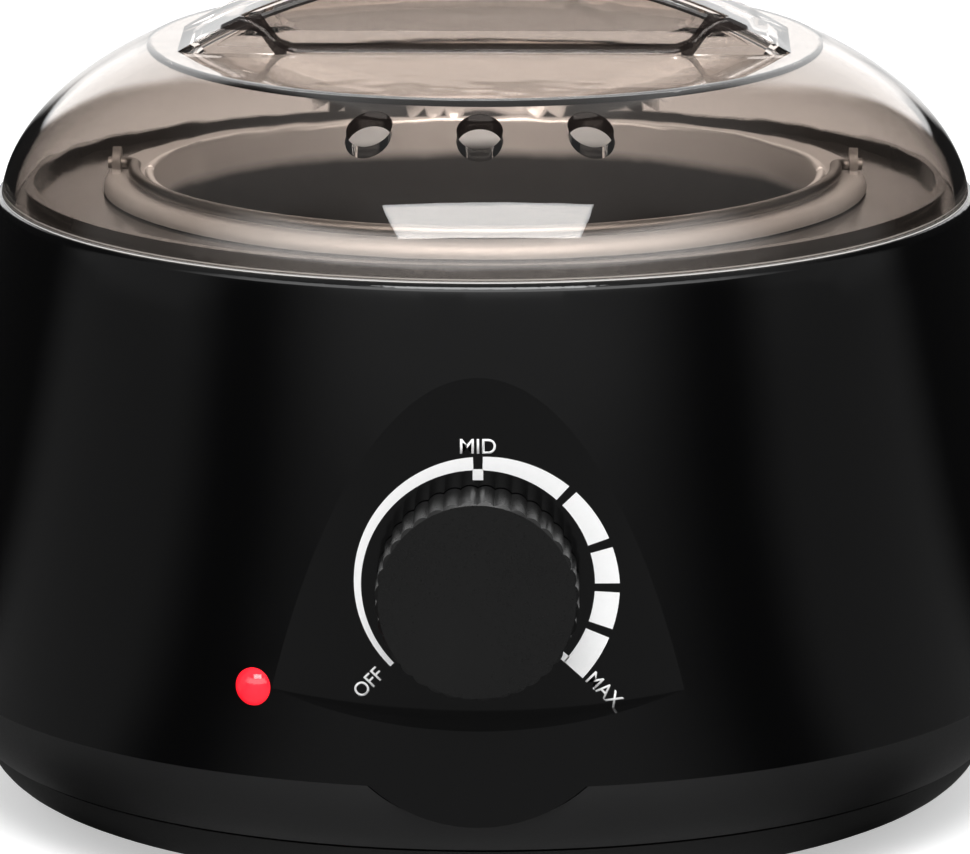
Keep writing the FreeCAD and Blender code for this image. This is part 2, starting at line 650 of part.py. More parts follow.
def thermal_fuse():
    """A cut-out cartridge that lies against the well above the heater band, on the right."""
    x = WELL_RADIUS + WELL_WALL + FUSE_RADIUS
    body = disc(FUSE_RADIUS, FUSE_LENGTH, (x, -FUSE_LENGTH / 2, fuse_level()), (0, 1, 0))
    pin = disc(FUSE_RADIUS * 0.25, FUSE_LENGTH * 2, (x, -FUSE_LENGTH, fuse_level()), (0, 1, 0))
    return body.fuse(pin)


def fuse_clip():
    """A spring strap that presses the cartridge to the well."""
    thickness = 0.8
    width = FUSE_LENGTH * 0.45
    inner = WELL_RADIUS + WELL_WALL
    x = inner + FUSE_RADIUS
    z = fuse_level()
    sleeve = tube(FUSE_RADIUS + thickness, FUSE_RADIUS, width, (x, -width / 2, z), (0, 1, 0))
    open_side = block(inner - FUSE_RADIUS, x, -width, width, z - 2 * FUSE_RADIUS, z + 2 * FUSE_RADIUS)
    hook = sleeve.cut(open_side)
    tab_height = FUSE_RADIUS * 2.4
    reach = FUSE_RADIUS + thickness
    upper = block(inner - 1, x, -width / 2, width / 2, z + FUSE_RADIUS, z + reach)
    tab = block(
        inner - 1, inner + thickness, -width / 2, width / 2, z + FUSE_RADIUS, z + reach + tab_height
    )
    inside_well = disc(inner, BODY_HEIGHT, (0, 0, BODY_Z))
    return hook.fuse(upper).fuse(tab).cut(inside_well).removeSplitter()


# ---------------------------------------------------------------- dial
def thermostat_body():
    front = -DIAL_BACK_Y
    case = block(
        -STAT_WIDTH / 2, STAT_WIDTH / 2, front, front + STAT_DEPTH,
        DIAL_HEIGHT - STAT_HEIGHT / 2, DIAL_HEIGHT + STAT_HEIGHT / 2,
    )
    case = rounded(case, 1.5, lambda edge: edge.BoundBox.YLength > STAT_DEPTH - 0.01)
    neck_length = WALL + NUT_THICKNESS + 0.4
    neck = disc(NECK_RADIUS, neck_length, (0, front, DIAL_HEIGHT), (0, -1, 0))
    bore_end = (0, front + STAT_DEPTH / 2, DIAL_HEIGHT)
    bore = disc(SHAFT_RADIUS + RUNNING_GAP, neck_length + STAT_DEPTH / 2, bore_end, (0, -1, 0))
    shape = case.fuse(neck).cut(bore)
    for side in (-1, 1):
        blade_x = side * STAT_WIDTH * 0.3
        low = DIAL_HEIGHT - STAT_HEIGHT / 2
        x0 = blade_x - BLADE_WIDTH / 2
        y0 = front + (STAT_DEPTH - BLADE_THICKNESS) / 2
        blade = block(x0, x0 + BLADE_WIDTH, y0, y0 + BLADE_THICKNESS, low - BLADE_LENGTH, low)
        shape = shape.fuse(blade)
    return shape.removeSplitter()


def shaft_cutter():
    """What the D flat takes off the shaft's upper side, with the shaft along the Y axis."""
    outer_end = -(KNOB_FACE_Y - KNOB_WALL)
    length = KNOB_DEPTH - KNOB_WALL - NUT_THICKNESS - KNOB_GAP
    side = 2 * SHAFT_RADIUS
    return block(-side, side, outer_end, outer_end + length, SHAFT_FLAT, side)


def thermostat_shaft():
    inner_end = -DIAL_BACK_Y + STAT_DEPTH / 2 - RUNNING_GAP
    outer_end = -(KNOB_FACE_Y - KNOB_WALL)
    length = inner_end - outer_end
    shape = disc(SHAFT_RADIUS, length, (0, inner_end, 0), (0, -1, 0)).cut(shaft_cutter())
    shape.translate(Vector(0, 0, DIAL_HEIGHT))
    return shape


def thermostat_nut():
    base = Vector(0, -DIAL_FLAT_Y, DIAL_HEIGHT)
    return hex_nut(NUT_ACROSS_FLATS, NECK_RADIUS, NUT_THICKNESS, base, Vector(0, -1, 0))


def fluted_face(radius, y):
    """The knob's scalloped outline: one convex arc for each flute."""
    step = 2 * math.pi / KNOB_FLUTES
    edges = []
    for index in range(KNOB_FLUTES):
        angles = [(index + part) * step for part in (0, 0.5, 1)]
        radii = (radius - FLUTE_DEPTH, radius, radius - FLUTE_DEPTH)
        points = [(r * math.sin(a), y, r * math.cos(a)) for r, a in zip(radii, angles)]
        edges.append(arc(*points))
    return Part.Face(Part.Wire(edges))


def knob():
    skirt = fluted_face(KNOB_RADIUS, -KNOB_BACK_Y).extrude(Vector(0, -KNOB_DEPTH, 0))
    chamfer = 0.5
    slope = Part.makeCone(
        KNOB_RADIUS + KNOB_DEPTH - chamfer, KNOB_RADIUS - chamfer, KNOB_DEPTH,
        Vector(0, -KNOB_BACK_Y, 0), Vector(0, -1, 0),
    )
    shape = skirt.common(slope)
    hollow_depth = KNOB_DEPTH - KNOB_WALL
    inner_radius = KNOB_RADIUS - FLUTE_DEPTH - KNOB_WALL
    hollow = disc(inner_radius, hollow_depth, (0, -KNOB_BACK_Y, 0), (0, -1, 0))
    hub_start = DIAL_FLAT_Y + NUT_THICKNESS + 3 * KNOB_GAP
    hub = disc(KNOB_HUB_RADIUS, KNOB_FACE_Y - KNOB_WALL - hub_start, (0, -hub_start, 0), (0, -1, 0))
    shape = shape.cut(hollow.cut(hub))
    socket = disc(SHAFT_RADIUS, hollow_depth, (0, -KNOB_BACK_Y, 0), (0, -1, 0)).cut(shaft_cutter())
    shape = shape.cut(socket)
    shape.translate(Vector(0, 0, DIAL_HEIGHT))
    return shape.removeSplitter()


# ---------------------------------------------------------------- indicator
def on_lens_axis(shape):
    """Moves a shape made along +Z from the origin to the indicator's hole, pointing outwards."""
    point, outwards = lens_place()
    shape.Placement = FreeCAD.Placement(point, FreeCAD.Rotation(Vector(0, 0, 1), outwards))
    return shape


def lamp_tip():
    return LAMP_LENGTH / 2 - 2 * WALL


def indicator_lens():
    """A clear red dome whose stem passes through the housing wall."""
    head = LENS_RADIUS + LENS_FLANGE
    stem_end = -2 * WALL
    rise = LENS_HEAD - LENS_SEAT
    ball = (head**2 + rise**2) / (2 * rise)
    dome = Part.makeSphere(ball, Vector(0, 0, LENS_HEAD - ball))
    dome = dome.common(disc(head + OVERRUN, LENS_HEAD, (0, 0, LENS_SEAT)))
    stem = disc(LENS_RADIUS, LENS_SEAT - stem_end, (0, 0, stem_end))
    pocket = disc(LAMP_RADIUS + FIT / 2, lamp_tip() - stem_end, (0, 0, stem_end))
    return on_lens_axis(dome.fuse(stem).cut(pocket).removeSplitter())


def indicator_lamp():
    """The little lamp in the lens, with its two leads."""
    foot = lamp_tip() - LAMP_LENGTH
    bulb = disc(LAMP_RADIUS, LAMP_LENGTH, (0, 0, foot))
    for side in (-1, 1):
        bulb = bulb.fuse(disc(0.35, LAMP_LEAD, (side * LAMP_RADIUS / 2, 0, foot - LAMP_LEAD)))
    return on_lens_axis(bulb)


def indicator_nut():
    """The push-on ring that holds the lens from inside."""
    seat = LENS_SPOT_FACE - WALL
    ring = tube(LENS_NUT_RADIUS, LENS_RADIUS, LENS_NUT_THICKNESS, (0, 0, seat - LENS_NUT_THICKNESS))
    return on_lens_axis(ring)


# ---------------------------------------------------------------- wiring
def terminal_places():
    """The middle of each way along the strip, in X."""
    pitch = TERMINAL_LENGTH / TERMINAL_WAYS
    return [pitch * (way + 0.5) - TERMINAL_LENGTH / 2 for way in range(TERMINAL_WAYS)]


def terminal_block():
    """A screw terminal strip that stands on the bottom cover behind the slots."""
    floor = COVER_Z + WALL
    half = TERMINAL_LENGTH / 2
    shape = block(-half, half, TERMINAL_Y, TERMINAL_Y + TERMINAL_WIDTH, floor, floor + TERMINAL_HEIGHT)
    middle_y = TERMINAL_Y + TERMINAL_WIDTH / 2
    well_z = floor + TERMINAL_HEIGHT * 0.55
    wire_z = floor + TERMINAL_HEIGHT * 0.3
    for x in terminal_places():
        screw_well = disc(TERMINAL_SCREW_RADIUS + FIT, TERMINAL_HEIGHT, (x, middle_y, well_z))
        wire_way = disc(TERMINAL_SCREW_RADIUS - 0.3, TERMINAL_WIDTH, (x, TERMINAL_Y, wire_z), (0, 1, 0))
        shape = shape.cut(screw_well).cut(wire_way)
    return shape


def terminal_screws():
    z = COVER_Z + WALL + TERMINAL_HEIGHT * 0.55
    middle_y = TERMINAL_Y + TERMINAL_WIDTH / 2
    height = TERMINAL_SCREW_RADIUS
    reach = TERMINAL_SCREW_RADIUS + FIT
    screws = []
    for x in terminal_places():
        slot = block(x - reach, x + reach, middle_y - 0.35, middle_y + 0.35, z + height * 0.6, z + height)
        screws.append(disc(TERMINAL_SCREW_RADIUS, height, (x, middle_y, z)).cut(slot))
    return screws


# ---------------------------------------------------------------- pot
def lug(side):
    x0, x1 = sorted((side * LUG_X, side * (LUG_X + LUG_THICKNESS)))
    half = LUG_WIDTH / 2
    foot = block(x0, x1, -half, half, POT_RIM_Z - POT_WALL / 2, BAIL_Z)
    return foot.fuse(disc(half, LUG_THICKNESS, (x0, 0, BAIL_Z), (1, 0, 0)).cut(
        block(x0, x1, -half, half, BAIL_Z - half, BAIL_Z)
    ))


def pot_flange():
    """The flat flange, the bead round the mouth and the skirt that hides the collar."""
    low = RIM_Z + POT_SKIRT_GAP
    bend = POT_FLANGE_ROUND * (1 - math.sqrt(0.5))
    edge = POT_FLANGE - POT_FLANGE_ROUND
    inner = POT_FLANGE - POT_WALL
    inner_round = POT_FLANGE_ROUND - POT_WALL
    inner_bend = inner_round * (1 - math.sqrt(0.5))
    lip_outer = POT_RADIUS + POT_LIP_WIDTH
    lip_top = POT_RIM_Z + POT_LIP_HEIGHT
    return turned_edges([
        line((POT_RADIUS, 0, COLLAR_Z), (POT_RADIUS, 0, POT_RIM_Z)),
        arc(
            (POT_RADIUS, 0, POT_RIM_Z),
            (POT_RADIUS + POT_LIP_WIDTH / 2, 0, lip_top),
            (lip_outer, 0, POT_RIM_Z),
        ),
        line((lip_outer, 0, POT_RIM_Z), (edge, 0, POT_RIM_Z)),
        arc(
            (edge, 0, POT_RIM_Z),
            (POT_FLANGE - bend, 0, POT_RIM_Z - bend),
            (POT_FLANGE, 0, POT_RIM_Z - POT_FLANGE_ROUND),
        ),
        line((POT_FLANGE, 0, POT_RIM_Z - POT_FLANGE_ROUND), (POT_FLANGE, 0, low)),
        line((POT_FLANGE, 0, low), (inner, 0, low)),
        line((inner, 0, low), (inner, 0, COLLAR_Z - inner_round)),
        arc(
            (inner, 0, COLLAR_Z - inner_round),
            (inner - inner_bend, 0, COLLAR_Z - inner_bend),
            (inner - inner_round, 0, COLLAR_Z),
        ),
        line((inner - inner_round, 0, COLLAR_Z), (POT_RADIUS, 0, COLLAR_Z)),
    ])


def pot():
    outside = bowl(POT_RADIUS + POT_WALL, POT_BOTTOM_Z - POT_WALL, POT_RIM_Z, POT_CORNER + POT_WALL)
    shape = outside.fuse(pot_flange())
    for side in (-1, 1):
        shape = shape.fuse(lug(side))
    shape = shape.cut(bowl(POT_RADIUS, POT_BOTTOM_Z, POT_RIM_Z + OVERRUN, POT_CORNER))
    reach = POT_FLANGE + OVERRUN
    hole = disc(BAIL_WIRE + RUNNING_GAP, 2 * reach, (-reach, 0, BAIL_Z), (1, 0, 0))
    return shape.cut(hole).removeSplitter()


def bail():
    """The pot's wire handle: one bent wire that lies forward on the rim, with an end in each lug."""
    pin_end = LUG_X + LUG_THICKNESS + BAIL_PIN_END
    straight = BAIL_RADIUS + BAIL_BEND
    corner = BAIL_BEND * (1 - math.sqrt(0.5))
    path = [line((pin_end, 0, BAIL_Z), (straight, 0, BAIL_Z))]
    path.append(arc(
        (straight, 0, BAIL_Z), (BAIL_RADIUS + corner, -corner, BAIL_Z), (BAIL_RADIUS, -BAIL_BEND, BAIL_Z)
    ))
    path.append(arc(
        (BAIL_RADIUS, -BAIL_BEND, BAIL_Z),
        (0, -BAIL_BEND - BAIL_RADIUS, BAIL_Z),
        (-BAIL_RADIUS, -BAIL_BEND, BAIL_Z),
    ))
    path.append(arc(
        (-BAIL_RADIUS, -BAIL_BEND, BAIL_Z), (-BAIL_RADIUS - corner, -corner, BAIL_Z), (-straight, 0, BAIL_Z)
    ))
    path.append(line((-straight, 0, BAIL_Z), (-pin_end, 0, BAIL_Z)))
    section = Part.Wire(Part.makeCircle(BAIL_WIRE, Vector(pin_end, 0, BAIL_Z), Vector(1, 0, 0)))
    return Part.Wire(path).makePipeShell([section], True, False)


# ---------------------------------------------------------------- lid
def dome(inset):
    """The lid's dome, cut off at its flat top, drawn inset by a wall."""
    radius = LID_RADIUS - inset
    rise = LID_RISE - inset
    top_z = LID_TOP_Z - inset
    foot_radius = radius * math.sqrt(1 - (LID_SINK / rise) ** 2)
    top_radius = radius * math.sqrt(1 - ((top_z - LID_CENTRE_Z) / rise) ** 2)
    centre = Vector(0, 0, LID_CENTRE_Z)
    ellipse = Part.Ellipse(centre + Vector(radius, 0, 0), centre + Vector(0, 0, rise), centre)
    foot = Vector(foot_radius, 0, RIM_Z)
    top = Vector(top_radius, 0, top_z)
    bounds = sorted(ellipse.parameter(point) for point in (foot, top))
    edges = [
        Part.ArcOfEllipse(ellipse, *bounds).toShape(),
        Part.LineSegment(top, Vector(0, 0, top_z)).toShape(),
        Part.LineSegment(Vector(0, 0, top_z), Vector(0, 0, RIM_Z)).toShape(),
        Part.LineSegment(Vector(0, 0, RIM_Z), foot).toShape(),
    ]
    return turned_edges(edges)


def grip_bar(half_width, corner):
    """The arched bar on the lid with rounded top edges, as a ring turned about its arc's centre."""
    low = GRIP_ARC - 2 * GRIP_RISE
    high = GRIP_ARC
    round_in = corner * (1 - math.sqrt(0.5))
    edges = [line((0, -half_width, low), (0, half_width, low))]
    for side in (-1, 1):
        flank = side * half_width
        inner = side * (half_width - corner)
        bend = side * (half_width - round_in)
        edges.append(line((0, flank, low), (0, flank, high - corner)))
        edges.append(arc((0, flank, high - corner), (0, bend, high - round_in), (0, inner, high)))
    edges.append(line((0, corner - half_width, high), (0, half_width - corner, high)))
    ring = Part.Face(Part.Wire(Part.__sortEdges__(edges))).revolve(Vector(0, 0, 0), Vector(0, 1, 0), 360)
    ring.translate(Vector(0, 0, GRIP_ARC_Z))
    reach = GRIP_HALF_LENGTH
    low_z = LID_TOP_Z - LID_WALL / 2
    return ring.common(block(-reach, reach, -reach, reach, low_z, LID_TOP_Z + 2 * GRIP_RISE))


def grip_hollow():
    """The space inside the grip, open to the space under the lid."""
    half_width = GRIP_WAIST_HALF_WIDTH - LID_WALL
    arch = disc(GRIP_ARC - LID_WALL, 2 * half_width, (0, -half_width, GRIP_ARC_Z), (0, 1, 0))
    reach = GRIP_HALF_LENGTH - 2 * LID_WALL
    low = LID_TOP_Z - 2 * LID_WALL
    return arch.common(block(-reach, reach, -half_width, half_width, low, LID_TOP_Z + GRIP_RISE))


def shoulder_space():
    """What may be solid outside the grip's waist: it rises in an S at each end."""
    ramp_end = SCOOP_HALF_FLOOR + SCOOP_RAMP_RUN
    rise = math.sqrt(GRIP_ARC**2 - ramp_end**2) + GRIP_ARC_Z - LID_TOP_Z
    bend = (SCOOP_RAMP_RUN**2 + rise**2) / (4 * rise)
    steepest = math.asin(SCOOP_RAMP_RUN / 2 / bend)
    sin_half = bend * math.sin(steepest / 2)
    drop_half = bend * (1 - math.cos(steepest / 2))
    foot = (SCOOP_HALF_FLOOR, 0, 0)
    middle = (SCOOP_HALF_FLOOR + SCOOP_RAMP_RUN / 2, 0, rise / 2)
    top = (ramp_end, 0, rise)
    outer = GRIP_HALF_LENGTH + OVERRUN
    low = -LID_WALL
    wire = Part.Wire([
        arc(foot, (foot[0] + sin_half, 0, drop_half), middle),
        arc(middle, (top[0] - sin_half, 0, rise - drop_half), top),
        line(top, (outer, 0, rise)),
        line((outer, 0, rise), (outer, 0, low)),
        line((outer, 0, low), (SCOOP_HALF_FLOOR, 0, low)),
        line((SCOOP_HALF_FLOOR, 0, low), foot),
    ])
    right = Part.Face(wire).extrude(Vector(0, 2 * LID_TOP_RADIUS, 0))
    right.translate(Vector(0, -LID_TOP_RADIUS, LID_TOP_Z))
    return right, around(right, 180)


def lid():
    shell = rounded(dome(0), LID_TOP_ROUND, lambda edge: edge.BoundBox.ZMin > LID_TOP_Z - 0.01)
    shape = shell.fuse(grip_bar(GRIP_WAIST_HALF_WIDTH, GRIP_ROUND))
    wide = grip_bar(GRIP_END_HALF_WIDTH, GRIP_ROUND)
    for space in shoulder_space():
        shape = shape.fuse(wide.common(space))
    shape = shape.cut(dome(LID_WALL)).cut(grip_hollow())
    for step in (-1, 0, 1):
        x, y, z = polar(VENT_CIRCLE, -90 + step * VENT_STEP, RIM_Z)
        shape = shape.cut(disc(VENT_RADIUS, LID_RISE, (x, y, z)))
    return shape.removeSplitter()


# ---------------------------------------------------------------- build
NODES = {
    "housing": housing,
    "base_ring": base_ring,
    "bottom_cover": bottom_cover,
    "rubber_feet": rubber_feet,
    "base_screws": base_screws,
    "cord_bush": cord_bush,
    "deck_ring": deck_ring,
    "well": well,
    "well_screws": well_screws,
    "heater_band": heater_band,
    "band_clamp": band_clamp,
    "clamp_bolt": clamp_bolt,
    "clamp_nut": clamp_nut,
    "thermal_fuse": thermal_fuse,
    "fuse_clip": fuse_clip,
    "thermostat_body": thermostat_body,
    "thermostat_shaft": thermostat_shaft,
    "thermostat_nut": thermostat_nut,
    "knob": knob,
    "indicator_lens": indicator_lens,
    "indicator_lamp": indicator_lamp,
    "indicator_nut": indicator_nut,
    "terminal_block": terminal_block,
    "terminal_screws": terminal_screws,
    "pot": pot,
    "bail": bail,
    "lid": lid,
}


def main():
    os.makedirs("parts", exist_ok=True)
    for name, make in NODES.items():
        made = make()
        shape = Part.makeCompound(made) if isinstance(made, list) else made
        solids = shape.Solids
        if not solids or not shape.isValid():
            raise ValueError(f"{name} isn't a valid solid")
        out = solids[0] if len(solids) == 1 else Part.makeCompound(solids)
        out.exportStep(f"parts/{name}.step")
        print(f"{name}: {len(solids)} solid(s), {out.Volume / 1000:.2f} cm3")


if __name__ == "__main__":
    main()
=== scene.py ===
"""The looks of the electric wax melter, laid out as an add-on with one operator for each group of pieces."""

import json
import math

import bmesh
import bpy
from mathutils import Matrix, Vector

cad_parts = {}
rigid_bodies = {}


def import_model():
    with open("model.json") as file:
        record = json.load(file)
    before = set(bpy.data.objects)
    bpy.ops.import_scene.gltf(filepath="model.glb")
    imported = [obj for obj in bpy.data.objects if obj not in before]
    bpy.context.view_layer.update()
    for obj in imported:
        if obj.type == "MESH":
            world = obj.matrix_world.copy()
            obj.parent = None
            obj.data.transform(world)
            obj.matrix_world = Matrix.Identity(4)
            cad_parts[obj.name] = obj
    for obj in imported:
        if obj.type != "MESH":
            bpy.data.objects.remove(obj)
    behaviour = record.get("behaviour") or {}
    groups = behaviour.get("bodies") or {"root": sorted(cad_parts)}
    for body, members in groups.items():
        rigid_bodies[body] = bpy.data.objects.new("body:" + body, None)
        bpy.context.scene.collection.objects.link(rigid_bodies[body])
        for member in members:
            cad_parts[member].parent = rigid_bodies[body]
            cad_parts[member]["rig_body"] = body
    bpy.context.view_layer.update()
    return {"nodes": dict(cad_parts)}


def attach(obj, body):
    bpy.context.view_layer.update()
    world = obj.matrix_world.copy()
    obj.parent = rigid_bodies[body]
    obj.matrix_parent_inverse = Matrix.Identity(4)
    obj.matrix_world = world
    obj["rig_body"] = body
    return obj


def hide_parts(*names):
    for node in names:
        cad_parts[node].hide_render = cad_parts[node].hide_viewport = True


bl_info = {
    "name": "Wax melter",
    "version": (1, 0, 0),
    "blender": (4, 2, 0),
    "location": "3D View > Sidebar > Melter",
    "description": "Finishes, dial print, studio and camera for a round wax melter with a smoked lid",
    "category": "Object",
}

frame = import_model()
MM = 0.001

# Places on the solids that the finishes follow.
DIAL_PLANE = -82.8 * MM  # the flat that the dial is printed on
FLUSH = 0.02 * MM  # how near a face lies to count as on a plane
RIM = 100.6 * MM  # height of the lid's lower edge
LID_TOP = 125.3 * MM  # height of the lid's flat top
LID_WALL = 2.2 * MM
DOME_CENTRE = RIM - 2.5 * MM
DOME_ACROSS = 79.8 * MM  # half-axes of the dome's outer ellipse
DOME_UP = 37.5 * MM
VENT_CIRCLE = 62.4 * MM
VENT_RADIUS = 3.6 * MM
VENT_TURNS = (-16.2, 0.0, 16.2)  # degrees from the front
GRIP_WAIST = 9.0 * MM  # from the middle of the grip to its front face
GRIP_SHOULDER = (32.6 * MM, 37.6 * MM)  # between these the grip's root climbs to the shoulder
GRIP_CLIMB = 4.8 * MM
POT_RADIUS = 54.4 * MM
FILL_LINE = 96.4 * MM
LUG_FOOT = 103.6 * MM

# Where the camera and the lamps stand.
CAMERA_PLACE = (0.0177, -1.334, 0.3575)
CAMERA_DOWN = 12.57  # degrees below level
CAMERA_TURN = 0.76
LAMP_AIM = (0.0, 0.0, 0.09)
FRONT_SOFTBOX = (55.5, 2.0, 1.0, 0.67, 0.43)  # elevation, azimuth, distance, width and height
REAR_STRIP = (48.0, 180.0, 1.1, 0.62, 0.17)
FLOOR_RADIUS = 9.0
BOUNCE = 0.7  # level of the room's light on matt pieces
FRONT_WALL = 2.8  # level of the bright wall in front, as a gloss shows it
FLOOR_LIFT = 0.45  # what the white background adds to the floor, to the eye alone


# ---------------------------------------------------------------- shader maths
class Value:
    """A number in a shader. Arithmetic on it adds Math nodes."""

    def __init__(self, finish, socket):
        self.finish = finish
        self.socket = socket

    def _math(self, operation, *values):
        made = self.finish.node("ShaderNodeMath", {"operation": operation}, *values)
        return Value(self.finish, made.outputs[0])

    def __add__(self, other):
        return self._math("ADD", self, other)

    __radd__ = __add__

    def __sub__(self, other):
        return self._math("SUBTRACT", self, other)

    def __rsub__(self, other):
        return self._math("SUBTRACT", other, self)

    def __mul__(self, other):
        return self._math("MULTIPLY", self, other)

    __rmul__ = __mul__

    def __truediv__(self, other):
        return self._math("DIVIDE", self, other)

    def __pow__(self, other):
        return self._math("POWER", self, other)

    def absolute(self):
        return self._math("ABSOLUTE", self)

    def larger(self, other):
        return self._math("MAXIMUM", self, other)

    def step(self, low, high):
        """0 below low, 1 above high and smooth between them."""
        settings = {"interpolation_type": "SMOOTHSTEP"}
        made = self.finish.node("ShaderNodeMapRange", settings, self, low, high, 0.0, 1.0)
        return Value(self.finish, made.outputs[0])


class Finish:
    """A material, or a world, that is built node by node."""

    def __init__(self, name, owner=None):
        self.owner = owner or bpy.data.materials.new(name)
        self.owner.use_nodes = True
        self.tree = self.owner.node_tree
        self.tree.nodes.clear()
        kind = "ShaderNodeOutputMaterial" if owner is None else "ShaderNodeOutputWorld"
        self.output = self.tree.nodes.new(kind)

    def node(self, kind, settings=None, *values, **named):
        made = self.tree.nodes.new(kind)
        for key, value in (settings or {}).items():
            setattr(made, key, value)
        for index, value in enumerate(values):
            self.feed(made.inputs[index], value)
        for key, value in named.items():
            self.feed(made.inputs[key.replace("_", " ")], value)
        return made

    def feed(self, socket, value):
        if value is None:
            return
        if isinstance(value, Value):
            value = value.socket
        if isinstance(value, bpy.types.NodeSocket):
            self.tree.links.new(value, socket)
        else:
            socket.default_value = value

    def place(self):
        """Where a point lies on the object."""
        return self.node("ShaderNodeTexCoord").outputs["Object"]

    def axes(self, vector=None):
        """X, Y and Z of a place, as values in metres."""
        split = self.node("ShaderNodeSeparateXYZ", None, vector or self.place())
        return [Value(self, socket) for socket in split.outputs]

    def noise(self, scale, detail=3.0, roughness=0.5, stretch=(1.0, 1.0, 1.0)):
        """An uneven value about 0.5, finer as the scale grows."""
        mapped = self.node("ShaderNodeMapping", None, self.place())
        mapped.inputs["Scale"].default_value = stretch
        made = self.node("ShaderNodeTexNoise", None, mapped.outputs[0])
        made.inputs["Scale"].default_value = scale
        made.inputs["Detail"].default_value = detail
        made.inputs["Roughness"].default_value = roughness
        return Value(self, made.outputs[0])

    def blend(self, amount, first, second):
        """A colour between two colours."""
        made = self.node("ShaderNodeMix", {"data_type": "RGBA", "clamp_factor": True})
        self.feed(made.inputs[0], amount)
        for index, colour in ((6, first), (7, second)):
            self.feed(made.inputs[index], with_alpha(colour))
        return made.outputs[2]

    def bump(self, height, distance):
        """The normal of a surface with a relief that is up to a distance deep."""
        return self.node("ShaderNodeBump", None, Height=height, Distance=distance).outputs[0]

    def mix(self, amount, first, second):
        """A shader between two shaders."""
        return self.node("ShaderNodeMixShader", None, amount, first.outputs[0], second.outputs[0])

    def show(self, shader):
        """Makes a shader the one that is seen, and gives its owner."""
        self.tree.links.new(shader.outputs[0], self.output.inputs[0])
        return self.owner

    def surface(self, color, roughness, normal=None, **constants):
        """The plain shader of a piece, which is seen unless another is shown after it."""
        shader = self.node("ShaderNodeBsdfPrincipled")
        self.feed(shader.inputs["Base Color"], with_alpha(color))
        self.feed(shader.inputs["Roughness"], roughness)
        if normal is not None:
            self.feed(shader.inputs["Normal"], normal)
        for key, value in constants.items():
            self.feed(shader.inputs[key.replace("_", " ")], value)
        self.show(shader)
        return shader


def rays(finish, *kinds):
    """What Light Path says of each kind of ray, as values."""
    path = finish.node("ShaderNodeLightPath")
    return [Value(finish, path.outputs[kind]) for kind in kinds]


def with_alpha(colour):
    """A colour as a socket takes it, whether it is plain numbers or a link."""
    if isinstance(colour, (Value, bpy.types.NodeSocket)) or len(colour) == 4:
        return colour
    return (*colour, 1.0)


# ---------------------------------------------------------------- meshes
def nothing_selected():
    """Leaves edit mode and deselects everything."""
    if bpy.context.object and bpy.context.object.mode != "OBJECT":
        bpy.ops.object.mode_set(mode="OBJECT")
    bpy.ops.object.select_all(action="DESELECT")


def chosen(piece):
    """Selects one piece alone and makes it active."""
    nothing_selected()
    piece.select_set(True)
    bpy.context.view_layer.objects.active = piece


def dress(name, material):
    """Gives a CAD node its finish."""
    node = frame["nodes"][name]
    node.data.materials.clear()
    node.data.materials.append(material)
    return node


def even_normals(mesh, curve=None):
    """Shades level faces as level up to their fillets, and the points of a known curve by that curve."""
    level_from, same_side = 0.999999, 0.93
    mesh.update()
    normals = [corner.vector.copy() for corner in mesh.corner_normals]
    level = {}
    for face in mesh.polygons:
        if abs(face.normal.z) > level_from:
            for index in face.vertices:
                level[index] = math.copysign(1.0, face.normal.z)
    for index, loop in enumerate(mesh.loops):
        flat = Vector((0, 0, level.get(loop.vertex_index, 0.0)))
        true = flat if flat.z else curve and curve(mesh.vertices[loop.vertex_index].co)
        if true and abs(true.dot(normals[index])) > same_side:
            normals[index] = true * math.copysign(1.0, true.dot(normals[index]))
    mesh.normals_split_custom_set(normals)


def smooth_twin(node_name, name, material, angle=30.0, crisp=None, curve=None):
    """A welded, smoothly shaded twin that stands for a CAD node. Faces that crisp() picks keep an edge."""
    node = frame["nodes"][node_name]
    mesh = node.data.copy()
    mesh.name = name
    twin = bpy.data.objects.new(name, mesh)
    bpy.context.scene.collection.objects.link(twin)
    work = bmesh.new()
    work.from_mesh(mesh)
    bmesh.ops.remove_doubles(work, verts=work.verts, dist=0.002 * MM)
    work.to_mesh(mesh)
    work.free()
    mesh.materials.clear()
    mesh.materials.append(material)
    chosen(twin)
    bpy.ops.mesh.customdata_custom_splitnormals_clear()
    bpy.ops.object.shade_smooth_by_angle(angle=math.radians(angle))
    if crisp:
        picked = {face.index for face in mesh.polygons if crisp(face)}
        sides = {}
        for face in mesh.polygons:
            for key in face.edge_keys:
                sides.setdefault(key, set()).add(face.index in picked)
        for edge in mesh.edges:
            if len(sides.get(edge.key, ())) == 2:
                edge.use_edge_sharp = True
    even_normals(mesh, curve)
    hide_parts(node_name)
    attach(twin, node["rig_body"])
    return twin


